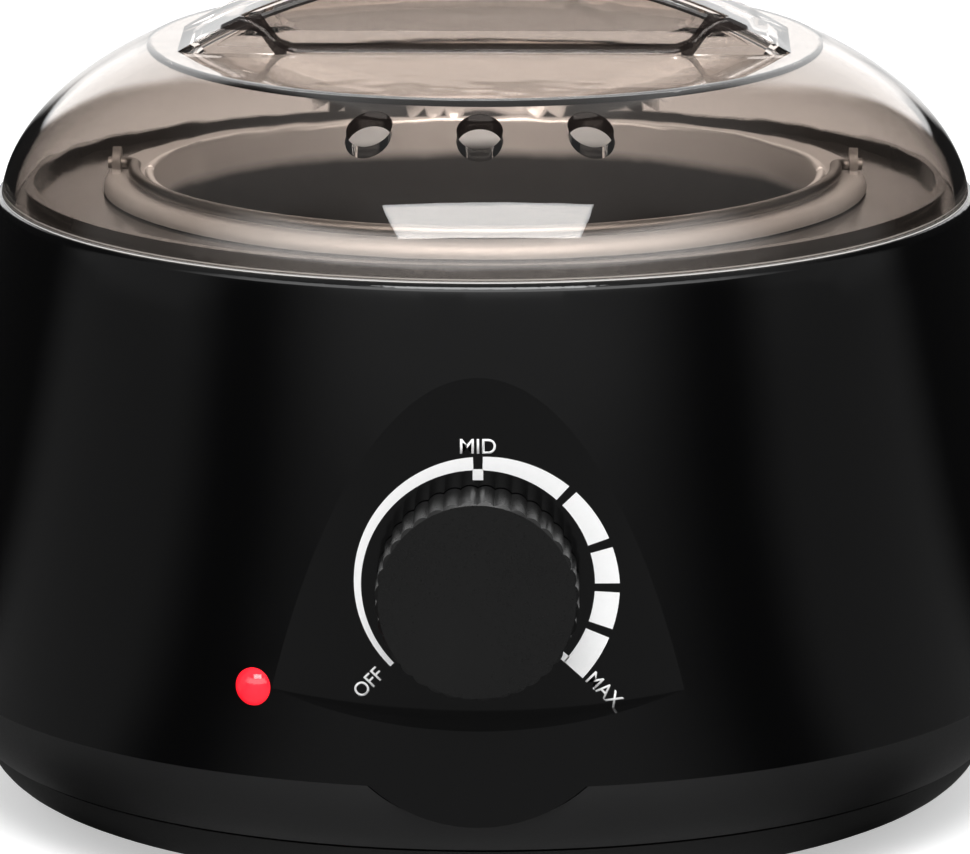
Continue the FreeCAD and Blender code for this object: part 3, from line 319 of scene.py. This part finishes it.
# ---------------------------------------------------------------- settings
class MelterColours(bpy.types.PropertyGroup):
    """Colours of the moulded and metal pieces."""

    housing: bpy.props.FloatVectorProperty(
        name="Housing", description="Gloss black of the housing", size=3, subtype="COLOR",
        default=(0.0013, 0.0013, 0.0014), min=0.0, max=1.0,
    )
    base: bpy.props.FloatVectorProperty(
        name="Base ring", description="Satin grey-black of the base ring", size=3, subtype="COLOR",
        default=(0.0085, 0.0085, 0.0087), min=0.0, max=1.0,
    )
    knob: bpy.props.FloatVectorProperty(
        name="Knob", description="Satin black of the knob", size=3, subtype="COLOR",
        default=(0.0040, 0.0040, 0.0040), min=0.0, max=1.0,
    )
    print_white: bpy.props.FloatVectorProperty(
        name="Print", description="White ink of the dial's scale", size=3, subtype="COLOR",
        default=(0.88, 0.88, 0.88), min=0.0, max=1.0,
    )
    smoke: bpy.props.FloatVectorProperty(
        name="Lid", description="What one wall of the smoked lid lets through", size=3, subtype="COLOR",
        default=(0.70, 0.635, 0.59), min=0.0, max=1.0,
    )
    lamp: bpy.props.FloatVectorProperty(
        name="Lamp", description="Glow of the indicator", size=3, subtype="COLOR",
        default=(1.0, 0.012, 0.020), min=0.0, max=1.0,
    )


class MelterPrint(bpy.types.PropertyGroup):
    """Sizes of the scale that is printed round the knob."""

    inner_radius: bpy.props.FloatProperty(
        name="Inner radius", description="Inner edge of the scale's band", default=18.3 * MM,
        unit="LENGTH", precision=5,
    )
    centre_height: bpy.props.FloatProperty(
        name="Centre height", description="Middle of the scale above the table", default=53.3 * MM,
        unit="LENGTH", precision=5,
    )
    cap_height: bpy.props.FloatProperty(
        name="Letter height", description="Height of the capitals", default=2.35 * MM,
        unit="LENGTH", precision=5,
    )
    ink: bpy.props.FloatProperty(
        name="Ink thickness", description="How far the print stands off the housing", default=0.05 * MM,
        unit="LENGTH", precision=5,
    )


class MelterStudio(bpy.types.PropertyGroup):
    """Lamps, floor and camera."""

    key_power: bpy.props.FloatProperty(
        name="Front softbox", description="Power of the softbox above the front", default=9.0, unit="POWER",
    )
    rear_power: bpy.props.FloatProperty(
        name="Rear softbox", description="Power of the strip above the back", default=0.8, unit="POWER",
    )
    floor: bpy.props.FloatVectorProperty(
        name="Floor", description="Colour of the floor", size=3, subtype="COLOR",
        default=(0.82, 0.82, 0.82), min=0.0, max=1.0,
    )
    lens: bpy.props.FloatProperty(
        name="Lens", description="Focal length in millimetres", default=305.6, min=20.0, max=600.0,
    )


# ---------------------------------------------------------------- finishes
def gloss_black(colour):
    """Moulded gloss plastic with the faint waviness of a large wall."""
    finish = Finish("gloss_black")
    haze = finish.noise(38.0, 4.0)
    specks = finish.noise(2600.0, 2.0)
    ripple = finish.noise(55.0, 1.0)
    tone = finish.blend(haze * 0.6, colour, [c * 1.35 for c in colour])
    rough = 0.075 + haze * 0.03 + specks * 0.015
    finish.surface(tone, rough, finish.bump(ripple, 0.03 * MM), IOR=1.5)
    return finish.owner


def satin_plastic(name, colour, roughness=0.42, grain=2200.0, depth=0.006):
    """Spark-eroded plastic: a fine even grain with a soft sheen."""
    finish = Finish(name)
    grains = finish.noise(grain, 2.0, 0.6)
    cloud = finish.noise(45.0, 3.0)
    tone = finish.blend(cloud, [c * 0.85 for c in colour], [c * 1.2 for c in colour])
    rough = roughness + (grains - 0.5) * 0.16 + (cloud - 0.5) * 0.08
    finish.surface(tone, rough, finish.bump(grains, depth * MM), IOR=1.5)
    return finish.owner


def rubber():
    """Soft black rubber with a dusty grain."""
    finish = Finish("foot_rubber")
    grains = finish.noise(1500.0, 3.0)
    tone = finish.blend(grains, (0.016, 0.016, 0.016), (0.032, 0.031, 0.03))
    finish.surface(tone, 0.78 + (grains - 0.5) * 0.2, finish.bump(grains, 0.02 * MM))
    return finish.owner


def drawn_steel(name, colour, stretch=(1.0, 1.0, 1.0), roughness=0.26):
    """Bright steel with fine draw marks along one direction."""
    finish = Finish(name)
    marks = finish.noise(900.0, 3.0, 0.6, stretch)
    cloud = finish.noise(140.0, 3.0)
    tone = finish.blend(cloud, [c * 0.86 for c in colour], colour)
    rough = roughness + (marks - 0.5) * 0.22
    finish.surface(tone, rough, finish.bump(marks, 0.004 * MM), Metallic=1.0)
    return finish.owner


def spun_aluminium(name, colour, roughness=0.3):
    """Aluminium with the rings that a spinning tool leaves round the axis."""
    finish = Finish(name)
    x, y, z = finish.axes()
    radius = (x * x + y * y) ** 0.5
    rings = finish.node(
        "ShaderNodeTexNoise", {"noise_dimensions": "2D"},
        finish.node("ShaderNodeCombineXYZ", None, radius * 2400.0, z * 2400.0, 0.0).outputs[0],
    )
    rings.inputs["Scale"].default_value = 1.0
    rings.inputs["Detail"].default_value = 2.0
    lines = Value(finish, rings.outputs[0])
    cloud = finish.noise(60.0, 3.0)
    tone = finish.blend(cloud, [c * 0.84 for c in colour], colour)
    rough = roughness + (lines - 0.5) * 0.2 + (cloud - 0.5) * 0.06
    finish.surface(tone, rough, finish.bump(lines, 0.003 * MM), Metallic=1.0)
    return finish.owner


def pot_metal():
    """Spun aluminium with a dark non-stick lining inside, up to the fill line."""
    finish = Finish("pot_metal")
    x, y, z = finish.axes()
    radius = (x * x + y * y) ** 0.5
    bore = 1 - radius.step(POT_RADIUS + 0.2 * MM, POT_RADIUS + 0.4 * MM)
    inside = bore * (1 - z.step(FILL_LINE, FILL_LINE + 2.6 * MM))
    rim = 1 - radius.step(POT_RADIUS + 1.2 * MM, POT_RADIUS + 2.2 * MM)
    lugs = radius.step(POT_RADIUS + 1.6 * MM, POT_RADIUS + 2.6 * MM) * z.step(LUG_FOOT, LUG_FOOT + 0.4 * MM)
    rings = finish.noise(520.0, 2.0, 0.5)
    metal = finish.blend(rings, (0.52, 0.51, 0.50), (0.60, 0.59, 0.58))
    metal = finish.blend(rim, metal, (0.90, 0.89, 0.88))
    metal = finish.blend(lugs, metal, (0.22, 0.21, 0.20))
    lining = finish.blend(rings, (0.018, 0.0175, 0.017), (0.034, 0.033, 0.032))
    tone = finish.blend(inside, metal, lining)
    rough = 0.5 - rim * 0.16 + rings * 0.1 - inside * 0.06
    shine = (1 - inside) * (0.4 + rim * 0.45)
    finish.surface(tone, rough, finish.bump(rings, 0.002 * MM), Metallic=shine)
    return finish.owner


def painted_shade_at_grip_root(x, y, z):
    """1 along the line where the grip's web and shoulders stand on the lid, where the painted shade goes, and
    0 elsewhere.
    """
    half_height, half_more, depth, more_depth, soft = 0.6 * MM, 0.5 * MM, 3.5 * MM, 2.4 * MM, 0.4 * MM
    side = x.absolute()
    shoulder = side.step(GRIP_SHOULDER[0] - 1.6 * MM, GRIP_SHOULDER[0] + soft)
    line = z - (LID_TOP + 0.2 * MM) - side.step(*GRIP_SHOULDER) * GRIP_CLIMB
    near = 1 - (line.absolute() - shoulder * half_more).step(half_height, half_height + soft / 2)
    before = (y + shoulder * more_depth).step(-GRIP_WAIST - depth - soft, -GRIP_WAIST - depth)
    behind = y.step(-GRIP_WAIST + soft / 2, -GRIP_WAIST + 1.5 * soft)
    return near * before * (1 - behind)


def painted_shade_on_vent_walls(x, y):
    """1 on the rear half of each steam vent's wall, where the painted shade goes, and 0 elsewhere."""
    walls = 0.0
    for turn in VENT_TURNS:
        across = VENT_CIRCLE * math.sin(math.radians(turn))
        along = -VENT_CIRCLE * math.cos(math.radians(turn))
        away = ((x - across) ** 2 + (y - along) ** 2) ** 0.5
        wall = 1 - away.step(VENT_RADIUS + 0.04 * MM, VENT_RADIUS + 0.15 * MM)
        walls = (wall * (y - along).step(-1.0 * MM, 0.8 * MM)).larger(walls)
    return walls


def smoked_clear(colour):
    """Clear smoked moulding, with painted shade as dark lines at the grip's root and on the vents' rear
    walls, and a painted highlight as a pale band at its lower edge.
    """
    finish = Finish("smoked_clear")
    waves = finish.noise(42.0, 2.0)
    haze = finish.noise(90.0, 4.0)
    x, y, z = finish.axes()
    tone = finish.blend(haze, colour, [c * 0.96 for c in colour])
    rough = 0.012 + haze * 0.02
    wall = finish.surface(tone, rough, finish.bump(waves, 0.10 * MM), Transmission_Weight=1.0, IOR=1.49)
    # edge and the pale matt shader: a painted highlight, a pale band at the lid's lower edge that stands for
    # the bright line of light along the seam
    edge = (1 - z.step(RIM + 0.15 * MM, RIM + 0.3 * MM)) * 0.6
    painted_seam_highlight = finish.node("ShaderNodeBsdfDiffuse", None, (0.85, 0.84, 0.82, 1.0))
    # dark and shade: painted shade, a near-black matt shader laid as dark lines at the grip's root and on the
    # vents' rear walls
    dark = finish.node("ShaderNodeBsdfDiffuse", None, (0.014, 0.011, 0.01, 1.0))
    shade = painted_shade_at_grip_root(x, y, z).larger(painted_shade_on_vent_walls(x, y)) * 0.94
    wall = finish.mix(shade, finish.mix(edge, wall, painted_seam_highlight), dark)
    shadow, diffuse, bounces = rays(finish, "Is Shadow Ray", "Is Diffuse Ray", "Ray Depth")
    trapped = bounces.step(4.2, 4.8) * z.step(LID_TOP - 3.5 * MM, LID_TOP - 2.7 * MM)
    plain = shadow.larger(diffuse).larger(trapped)
    veil = finish.node("ShaderNodeBsdfTransparent", None, with_alpha([c**0.5 for c in colour]))
    return finish.show(finish.mix(plain, wall, veil))


def red_lens(colour):
    """The lit lens: brightest in the middle of its dome."""
    finish = Finish("red_lens")
    depth = finish.noise(1800.0, 2.0)
    rim = finish.node("ShaderNodeLayerWeight", None, 0.35)
    edge = Value(finish, rim.outputs[1])
    glow = finish.blend(edge + (depth - 0.5) * 0.1, (1.0, 0.018, 0.036), (0.62, 0.0, 0.006))
    finish.surface(colour, 0.08 + depth * 0.05, Emission_Color=glow, Emission_Strength=1.05, IOR=1.55)
    return finish.owner


def white_ink(colour):
    """Screen-printed white with a faint grain."""
    finish = Finish("white_ink")
    grains = finish.noise(2600.0, 2.0)
    tone = finish.blend(grains, [c * 0.95 for c in colour], colour)
    finish.surface(tone, 0.42 + grains * 0.1, finish.bump(grains, 0.002 * MM))
    return finish.owner


# ---------------------------------------------------------------- operators
class MELTER_OT_housing(bpy.types.Operator):
    """Gives the housing its gloss black, smoothly shaded"""

    bl_idname = "melter.housing"
    bl_label = "Housing"

    def execute(self, context):
        def on_flat(face):
            return face.normal.y < -0.99999 and abs(face.center.y - DIAL_PLANE) < FLUSH

        black = gloss_black(context.scene.melter_colours.housing)
        smooth_twin("housing", "housing_shell", black, crisp=on_flat)
        return {"FINISHED"}


class MELTER_OT_base(bpy.types.Operator):
    """Finishes the base ring, bottom cover, feet, base screws and cord bush"""

    bl_idname = "melter.base"
    bl_label = "Base"

    def execute(self, context):
        colour = context.scene.melter_colours.base
        smooth_twin("base_ring", "base_ring_shell", satin_plastic("base_satin", colour))
        cover = satin_plastic("cover_matte", (0.006, 0.006, 0.006), 0.55, 1500.0, 0.012)
        smooth_twin("bottom_cover", "bottom_cover_shell", cover)
        dress("rubber_feet", rubber())
        dress("base_screws", drawn_steel("screw_zinc", (0.6, 0.6, 0.61)))
        smooth_twin("cord_bush", "cord_sleeve", satin_plastic("bush_nylon", (0.012, 0.012, 0.012), 0.4))
        return {"FINISHED"}


class MELTER_OT_inside(bpy.types.Operator):
    """Finishes the deck, the well and all that the housing holds"""

    bl_idname = "melter.inside"
    bl_label = "Deck and inside"

    def execute(self, context):
        deck = satin_plastic("deck_gloss", (0.045, 0.043, 0.041), 0.16, 900.0, 0.001)
        smooth_twin("deck_ring", "deck_plate", deck)
        smooth_twin("well", "well_bowl", spun_aluminium("well_spun", (0.7, 0.7, 0.71), 0.34))
        steel = drawn_steel("fitting_steel", (0.62, 0.62, 0.63))
        for name in ("well_screws", "band_clamp", "clamp_bolt", "clamp_nut", "fuse_clip", "indicator_nut"):
            dress(name, steel)
        dress("heater_band", drawn_steel("heater_sheath", (0.5, 0.48, 0.44), (1.0, 1.0, 8.0), 0.42))
        dress("thermal_fuse", satin_plastic("fuse_cream", (0.74, 0.70, 0.6), 0.5))
        dress("thermostat_body", satin_plastic("thermostat_brown", (0.12, 0.065, 0.035), 0.5))
        dress("thermostat_shaft", drawn_steel("shaft_turned", (0.66, 0.66, 0.66), (1.0, 9.0, 1.0)))
        brass = drawn_steel("brass_plain", (0.72, 0.52, 0.24))
        dress("thermostat_nut", brass)
        dress("terminal_screws", brass)
        dress("terminal_block", satin_plastic("terminal_natural", (0.72, 0.70, 0.64), 0.45))
        return {"FINISHED"}


class MELTER_OT_knob(bpy.types.Operator):
    """Finishes the fluted knob"""

    bl_idname = "melter.knob"
    bl_label = "Knob"

    def execute(self, context):
        colour = context.scene.melter_colours.knob
        smooth_twin("knob", "dial_knob", satin_plastic("knob_satin", colour, 0.3, 2600.0, 0.004), 24.0)
        return {"FINISHED"}


class MELTER_OT_lamp(bpy.types.Operator):
    """Lights the red indicator"""

    bl_idname = "melter.lamp"
    bl_label = "Indicator"

    def execute(self, context):
        smooth_twin("indicator_lens", "lamp_lens", red_lens(context.scene.melter_colours.lamp), 40.0)
        dress("indicator_lamp", red_lens((0.9, 0.2, 0.12)))
        return {"FINISHED"}


def scale_outer(angle):
    """Outer radius of the band in metres, by degrees clockwise from its top: it grows towards the hot end."""
    stops = ((-134.0, 19.1), (-90.0, 19.4), (0.0, 20.4), (90.0, 22.2), (134.0, 22.3))
    for (a0, r0), (a1, r1) in zip(stops, stops[1:]):
        if angle <= a1:
            return (r0 + (r1 - r0) * (angle - a0) / (a1 - a0)) * MM
    return stops[-1][1] * MM


def scale_band(name, start, end, sizes):
    """One piece of the scale's band, spun round the knob's axis and widened towards the hot end."""
    width, sliver, step = 1.0 * MM, 0.002 * MM, 1.5
    middle = sizes.inner_radius + width / 2
    nothing_selected()
    bpy.ops.mesh.primitive_plane_add(size=1.0, location=(0, 0, 0))
    band = bpy.context.object
    band.name = name
    band.data.transform(Matrix.Diagonal((sliver, width, 1.0, 1.0)))
    band.data.transform(Matrix.Translation((-sliver / 2, middle, 0)))
    bpy.ops.object.mode_set(mode="EDIT")
    work = bmesh.from_edit_mesh(band.data)
    for item in (*work.verts, *work.edges, *work.faces):
        item.select = False
    for edge in work.edges:
        edge.select = all(abs(v.co.x) < sliver / 5 for v in edge.verts)
    bmesh.update_edit_mesh(band.data)
    steps = max(4, round(abs(end - start) / step))
    bpy.ops.mesh.spin(steps=steps, angle=math.radians(start - end), center=(0, 0, 0), axis=(0, 0, -1))
    bpy.ops.object.mode_set(mode="OBJECT")
    band.data.transform(Matrix.Rotation(-math.radians(start), 4, "Z"))
    for vertex in band.data.vertices:
        if vertex.co.to_2d().length > middle:
            angle = math.degrees(math.atan2(vertex.co.x, vertex.co.y))
            vertex.co.x, vertex.co.y = vertex.co.to_2d().normalized() * scale_outer(angle)
    return on_dial(band, sizes)


def scale_tick(name, angle, inner, outer, width, sizes):
    """A short bar across the band's inner edge, from one radius to another in millimetres."""
    nothing_selected()
    bpy.ops.mesh.primitive_plane_add(size=1.0, location=(0, 0, 0))
    tick = bpy.context.object
    tick.name = name
    bpy.ops.object.mode_set(mode="EDIT")
    bpy.ops.mesh.select_all(action="SELECT")
    bpy.ops.mesh.subdivide(number_cuts=2)
    bpy.ops.object.mode_set(mode="OBJECT")
    size = Matrix.Diagonal((width * MM, (outer - inner) * MM, 1.0, 1.0))
    out = Matrix.Translation((0, (inner + outer) / 2 * MM, 0))
    tick.data.transform(Matrix.Rotation(-math.radians(angle), 4, "Z") @ out @ size)
    return on_dial(tick, sizes)


def scale_word(name, word, x, z, turn, width, sizes):
    """A word, centred at x, z on the dial in millimetres and turned anticlockwise in degrees."""
    nothing_selected()
    bpy.ops.object.text_add(location=(0, 0, 0))
    text = bpy.context.object
    text.data.body = word
    text.data.align_x = "CENTER"
    text.data.align_y = "CENTER"
    text.data.offset = 0.006  # a little bolder than the plain letters
    bpy.ops.object.convert(target="MESH")
    letters = bpy.context.object
    letters.name = name
    xs = [v.co.x for v in letters.data.vertices]
    ys = [v.co.y for v in letters.data.vertices]
    middle = Matrix.Translation((-(min(xs) + max(xs)) / 2, -(min(ys) + max(ys)) / 2, 0))
    wide, high = width * MM / (max(xs) - min(xs)), sizes.cap_height / (max(ys) - min(ys))
    fit = Matrix.Rotation(math.radians(turn), 4, "Z") @ Matrix.Diagonal((wide, high, 1.0, 1.0))
    place = Matrix.Translation((x * MM, z * MM - sizes.centre_height, 0))
    letters.data.transform(place @ fit @ middle)
    return on_dial(letters, sizes)


def on_dial(flat, sizes):
    """Stands a flat mesh on the dial's plane and gives it the ink's thickness."""
    chosen(flat)
    thick = flat.modifiers.new("ink", "SOLIDIFY")
    thick.thickness = sizes.ink * 2
    thick.offset = 0.0
    bpy.ops.object.modifier_apply(modifier=thick.name)
    bpy.ops.object.mode_set(mode="EDIT")
    bpy.ops.mesh.select_all(action="SELECT")
    bpy.ops.mesh.remove_doubles(threshold=0.0001 * MM)
    bpy.ops.mesh.normals_make_consistent(inside=False)
    bpy.ops.object.mode_set(mode="OBJECT")
    upright = Matrix.Rotation(math.radians(90), 4, "X")
    flat.data.transform(Matrix.Translation((0, DIAL_PLANE, sizes.centre_height)) @ upright)
    flat.data.update()
    return flat


class MELTER_OT_scale(bpy.types.Operator):
    """Prints the heat scale and its three words round the knob"""

    bl_idname = "melter.scale"
    bl_label = "Dial scale"

    def execute(self, context):
        sizes = context.scene.melter_print
        ink = white_ink(context.scene.melter_colours.print_white)
        # Where each stretch of the band starts and ends, in degrees clockwise from the top.
        spans = ((-134.0, -2.2), (2.2, 42.1), (46.0, 70.0), (74.0, 89.4), (93.3, 108.8), (112.6, 132.6))
        made = [scale_band(f"scale_band_{index + 1}", *span, sizes) for index, span in enumerate(spans)]
        made.append(scale_tick("scale_tick_mid", 0.0, 16.7, 18.45, 1.65, sizes))
        made.append(scale_tick("scale_tick_max", 130.9, 17.2, 18.5, 1.2, sizes))
        made.append(scale_word("word_mid", "MID", 0.0, 75.4, 0.0, 5.6, sizes))
        made.append(scale_word("word_off", "OFF", -17.2, 37.4, 45.0, 5.2, sizes))
        made.append(scale_word("word_max", "MAX", 19.9, 36.3, -45.0, 6.4, sizes))
        for piece in made:
            piece.data.materials.clear()
            piece.data.materials.append(ink)
            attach(piece, "base")
        return {"FINISHED"}


class MELTER_OT_pot(bpy.types.Operator):
    """Finishes the lift-out pot and its wire bail"""

    bl_idname = "melter.pot"
    bl_label = "Pot and bail"

    def execute(self, context):
        smooth_twin("pot", "wax_pot", pot_metal())
        wire = drawn_steel("bail_wire", (0.24, 0.23, 0.22), (6.0, 6.0, 1.0), 0.4)
        smooth_twin("bail", "pot_bail", wire, 50.0)
        return {"FINISHED"}


class MELTER_OT_lid(bpy.types.Operator):
    """Finishes the smoked lid"""

    bl_idname = "melter.lid"
    bl_label = "Lid"

    def execute(self, context):
        def dome(point):
            """The way a point of the dome's outer or inner ellipse faces."""
            height = point.z - DOME_CENTRE
            for wall in (0.0, LID_WALL):
                across, up = DOME_ACROSS - wall, DOME_UP - wall
                if abs((point.to_2d().length / across) ** 2 + (height / up) ** 2 - 1) < 0.0006:
                    return Vector((point.x / across**2, point.y / across**2, height / up**2)).normalized()
            return None

        smoke = smoked_clear(context.scene.melter_colours.smoke)
        smooth_twin("lid", "smoked_lid", smoke, 20.5, curve=dome)
        return {"FINISHED"}


# ---------------------------------------------------------------- studio
def towards_front(x, y):
    """1 straight in front, 0 at the sides and -1 straight behind."""
    return (y * -1.0) / ((x * x + y * y) ** 0.5 + 0.001)


def surroundings(x, y, wider=0.0):
    """What a reflection meets: a white sweep behind, dim panels in front and beside, and dark between."""
    front = towards_front(x, y)
    sweep = 1 - (front - wider).step(-0.985, -0.965)
    centre_panel = front.step(0.6, 0.95) * 0.2
    side_panels = (1 - (front - 0.05).absolute().step(0.25, 0.5)) * 0.14
    return (0.012 + centre_panel + side_panels) * (1 - sweep) + sweep


def kinds_of_ray(finish):
    """1 for rays off a gloss, for rays out of a clear wall, and for the eye's own, also straight through."""
    kinds = rays(finish, "Is Glossy Ray", "Is Transmission Ray", "Is Camera Ray", "Glossy Depth")
    glossy, through, camera, turns = kinds
    straight = through * (1 - turns.step(0.4, 0.6))
    return glossy, through, camera.larger(straight)


def studio_world():
    """White to the eye; to the glossy pieces, a bright wall in front, over dim and bright panels."""
    world = bpy.data.worlds.new("studio")
    bpy.context.scene.world = world
    finish = Finish("studio", world)
    x, y, z = finish.axes(finish.node("ShaderNodeTexCoord").outputs["Generated"])  # z: sine of the elevation
    glossy, through, camera = kinds_of_ray(finish)
    foot = glossy * z.step(0.27, 0.36) + through * z.step(0.10, 0.18)
    wall = towards_front(x, y).step(0.1, 0.75) * foot * (1 - z.step(0.66, 0.76)) * FRONT_WALL
    above = z.step(0.6, 0.95)
    high = z.step(0.02, 0.12)
    room = surroundings(x, y, high * 0.05) * (1 + high * 0.6)
    seen = room * (1 - above) + above * 0.35 + wall
    mirror = glossy.larger(through)
    strength = camera + (1 - camera) * (mirror * seen + (1 - mirror) * BOUNCE)
    finish.show(finish.node("ShaderNodeBackground", None, (1.0, 1.0, 1.0, 1.0), strength))


def floor_finish(colour):
    """Pale and matt to the eye, and to the glossy pieces as the room is in the same direction."""
    finish = Finish("studio_floor")
    grain = finish.noise(30.0, 3.0)
    tone = finish.blend(grain, colour, [c * 0.985 for c in colour])
    lit = finish.node("ShaderNodeBsdfDiffuse", None, tone)
    lift = finish.node("ShaderNodeEmission", None, (1.0, 1.0, 1.0, 1.0), FLOOR_LIFT)
    seen = finish.node("ShaderNodeAddShader", None, lit.outputs[0], lift.outputs[0])
    x, y, z = finish.axes()
    level = surroundings(x, y)
    shade = finish.node("ShaderNodeCombineColor", None, level, level, level)
    image = finish.node("ShaderNodeEmission", None, shade.outputs[0], 1.0)
    glossy, through, camera = kinds_of_ray(finish)
    mirror = glossy.larger(through) * (1 - camera)
    return finish.show(finish.mix(mirror, finish.mix(camera, lit, seen), image))


def softbox(name, place, power):
    """A rectangular lamp that faces the object, placed in degrees up and from the front towards +X."""
    elevation, azimuth, distance, width, height = place
    data = bpy.data.lights.new(name, "AREA")
    data.shape = "RECTANGLE"
    data.size = width
    data.size_y = height
    data.energy = power
    lamp = bpy.data.objects.new(name, data)
    bpy.context.scene.collection.objects.link(lamp)
    rise, turn = math.radians(elevation), math.radians(azimuth)
    direction = Vector((math.sin(turn) * math.cos(rise), -math.cos(turn) * math.cos(rise), math.sin(rise)))
    lamp.location = Vector(LAMP_AIM) + direction * distance
    lamp.rotation_euler = (-direction).to_track_quat("-Z", "Y").to_euler()


class MELTER_OT_studio(bpy.types.Operator):
    """Sets the floor, lamps, background and camera"""

    bl_idname = "melter.studio"
    bl_label = "Studio"

    def execute(self, context):
        studio = context.scene.melter_studio
        nothing_selected()
        bpy.ops.mesh.primitive_circle_add(
            vertices=96, radius=FLOOR_RADIUS, fill_type="NGON", location=(0, 0, 0)
        )
        floor = bpy.context.object
        floor.name = "studio_floor"
        floor.data.materials.append(floor_finish(studio.floor))
        studio_world()
        softbox("front_softbox", FRONT_SOFTBOX, studio.key_power)
        softbox("rear_strip", REAR_STRIP, studio.rear_power)
        camera = bpy.data.objects.new("camera", bpy.data.cameras.new("camera"))
        context.scene.collection.objects.link(camera)
        camera.location = CAMERA_PLACE
        camera.rotation_euler = (math.radians(90.0 - CAMERA_DOWN), 0.0, math.radians(CAMERA_TURN))
        camera.data.lens = studio.lens
        camera.data.clip_end = 60.0
        context.scene.camera = camera
        context.scene.view_settings.view_transform = "Standard"
        return {"FINISHED"}


class MELTER_PT_panel(bpy.types.Panel):
    """Lists the melter's operators and settings"""

    bl_idname = "MELTER_PT_panel"
    bl_label = "Wax melter"
    bl_space_type = "VIEW_3D"
    bl_region_type = "UI"
    bl_category = "Melter"

    def draw(self, context):
        layout = self.layout
        for operator in OPERATORS:
            layout.operator(operator.bl_idname)
        for name in SETTINGS:
            group = getattr(context.scene, name)
            box = layout.box()
            for key in group.__annotations__:
                box.prop(group, key)


OPERATORS = (
    MELTER_OT_housing,
    MELTER_OT_base,
    MELTER_OT_inside,
    MELTER_OT_knob,
    MELTER_OT_lamp,
    MELTER_OT_scale,
    MELTER_OT_pot,
    MELTER_OT_lid,
    MELTER_OT_studio,
)
SETTINGS = {
    "melter_colours": MelterColours,
    "melter_print": MelterPrint,
    "melter_studio": MelterStudio,
}


def register():
    for group in SETTINGS.values():
        bpy.utils.register_class(group)
    for name, group in SETTINGS.items():
        setattr(bpy.types.Scene, name, bpy.props.PointerProperty(type=group))
    for operator in OPERATORS:
        bpy.utils.register_class(operator)
    bpy.utils.register_class(MELTER_PT_panel)


def unregister():
    bpy.utils.unregister_class(MELTER_PT_panel)
    for operator in reversed(OPERATORS):
        bpy.utils.unregister_class(operator)
    for name, group in SETTINGS.items():
        delattr(bpy.types.Scene, name)
        bpy.utils.unregister_class(group)


def main():
    register()
    bpy.ops.melter.housing()
    bpy.ops.melter.base()
    bpy.ops.melter.inside()
    bpy.ops.melter.knob()
    bpy.ops.melter.lamp()
    bpy.ops.melter.scale()
    bpy.ops.melter.pot()
    bpy.ops.melter.lid()
    bpy.ops.melter.studio()


if __name__ == "__main__":
    main()
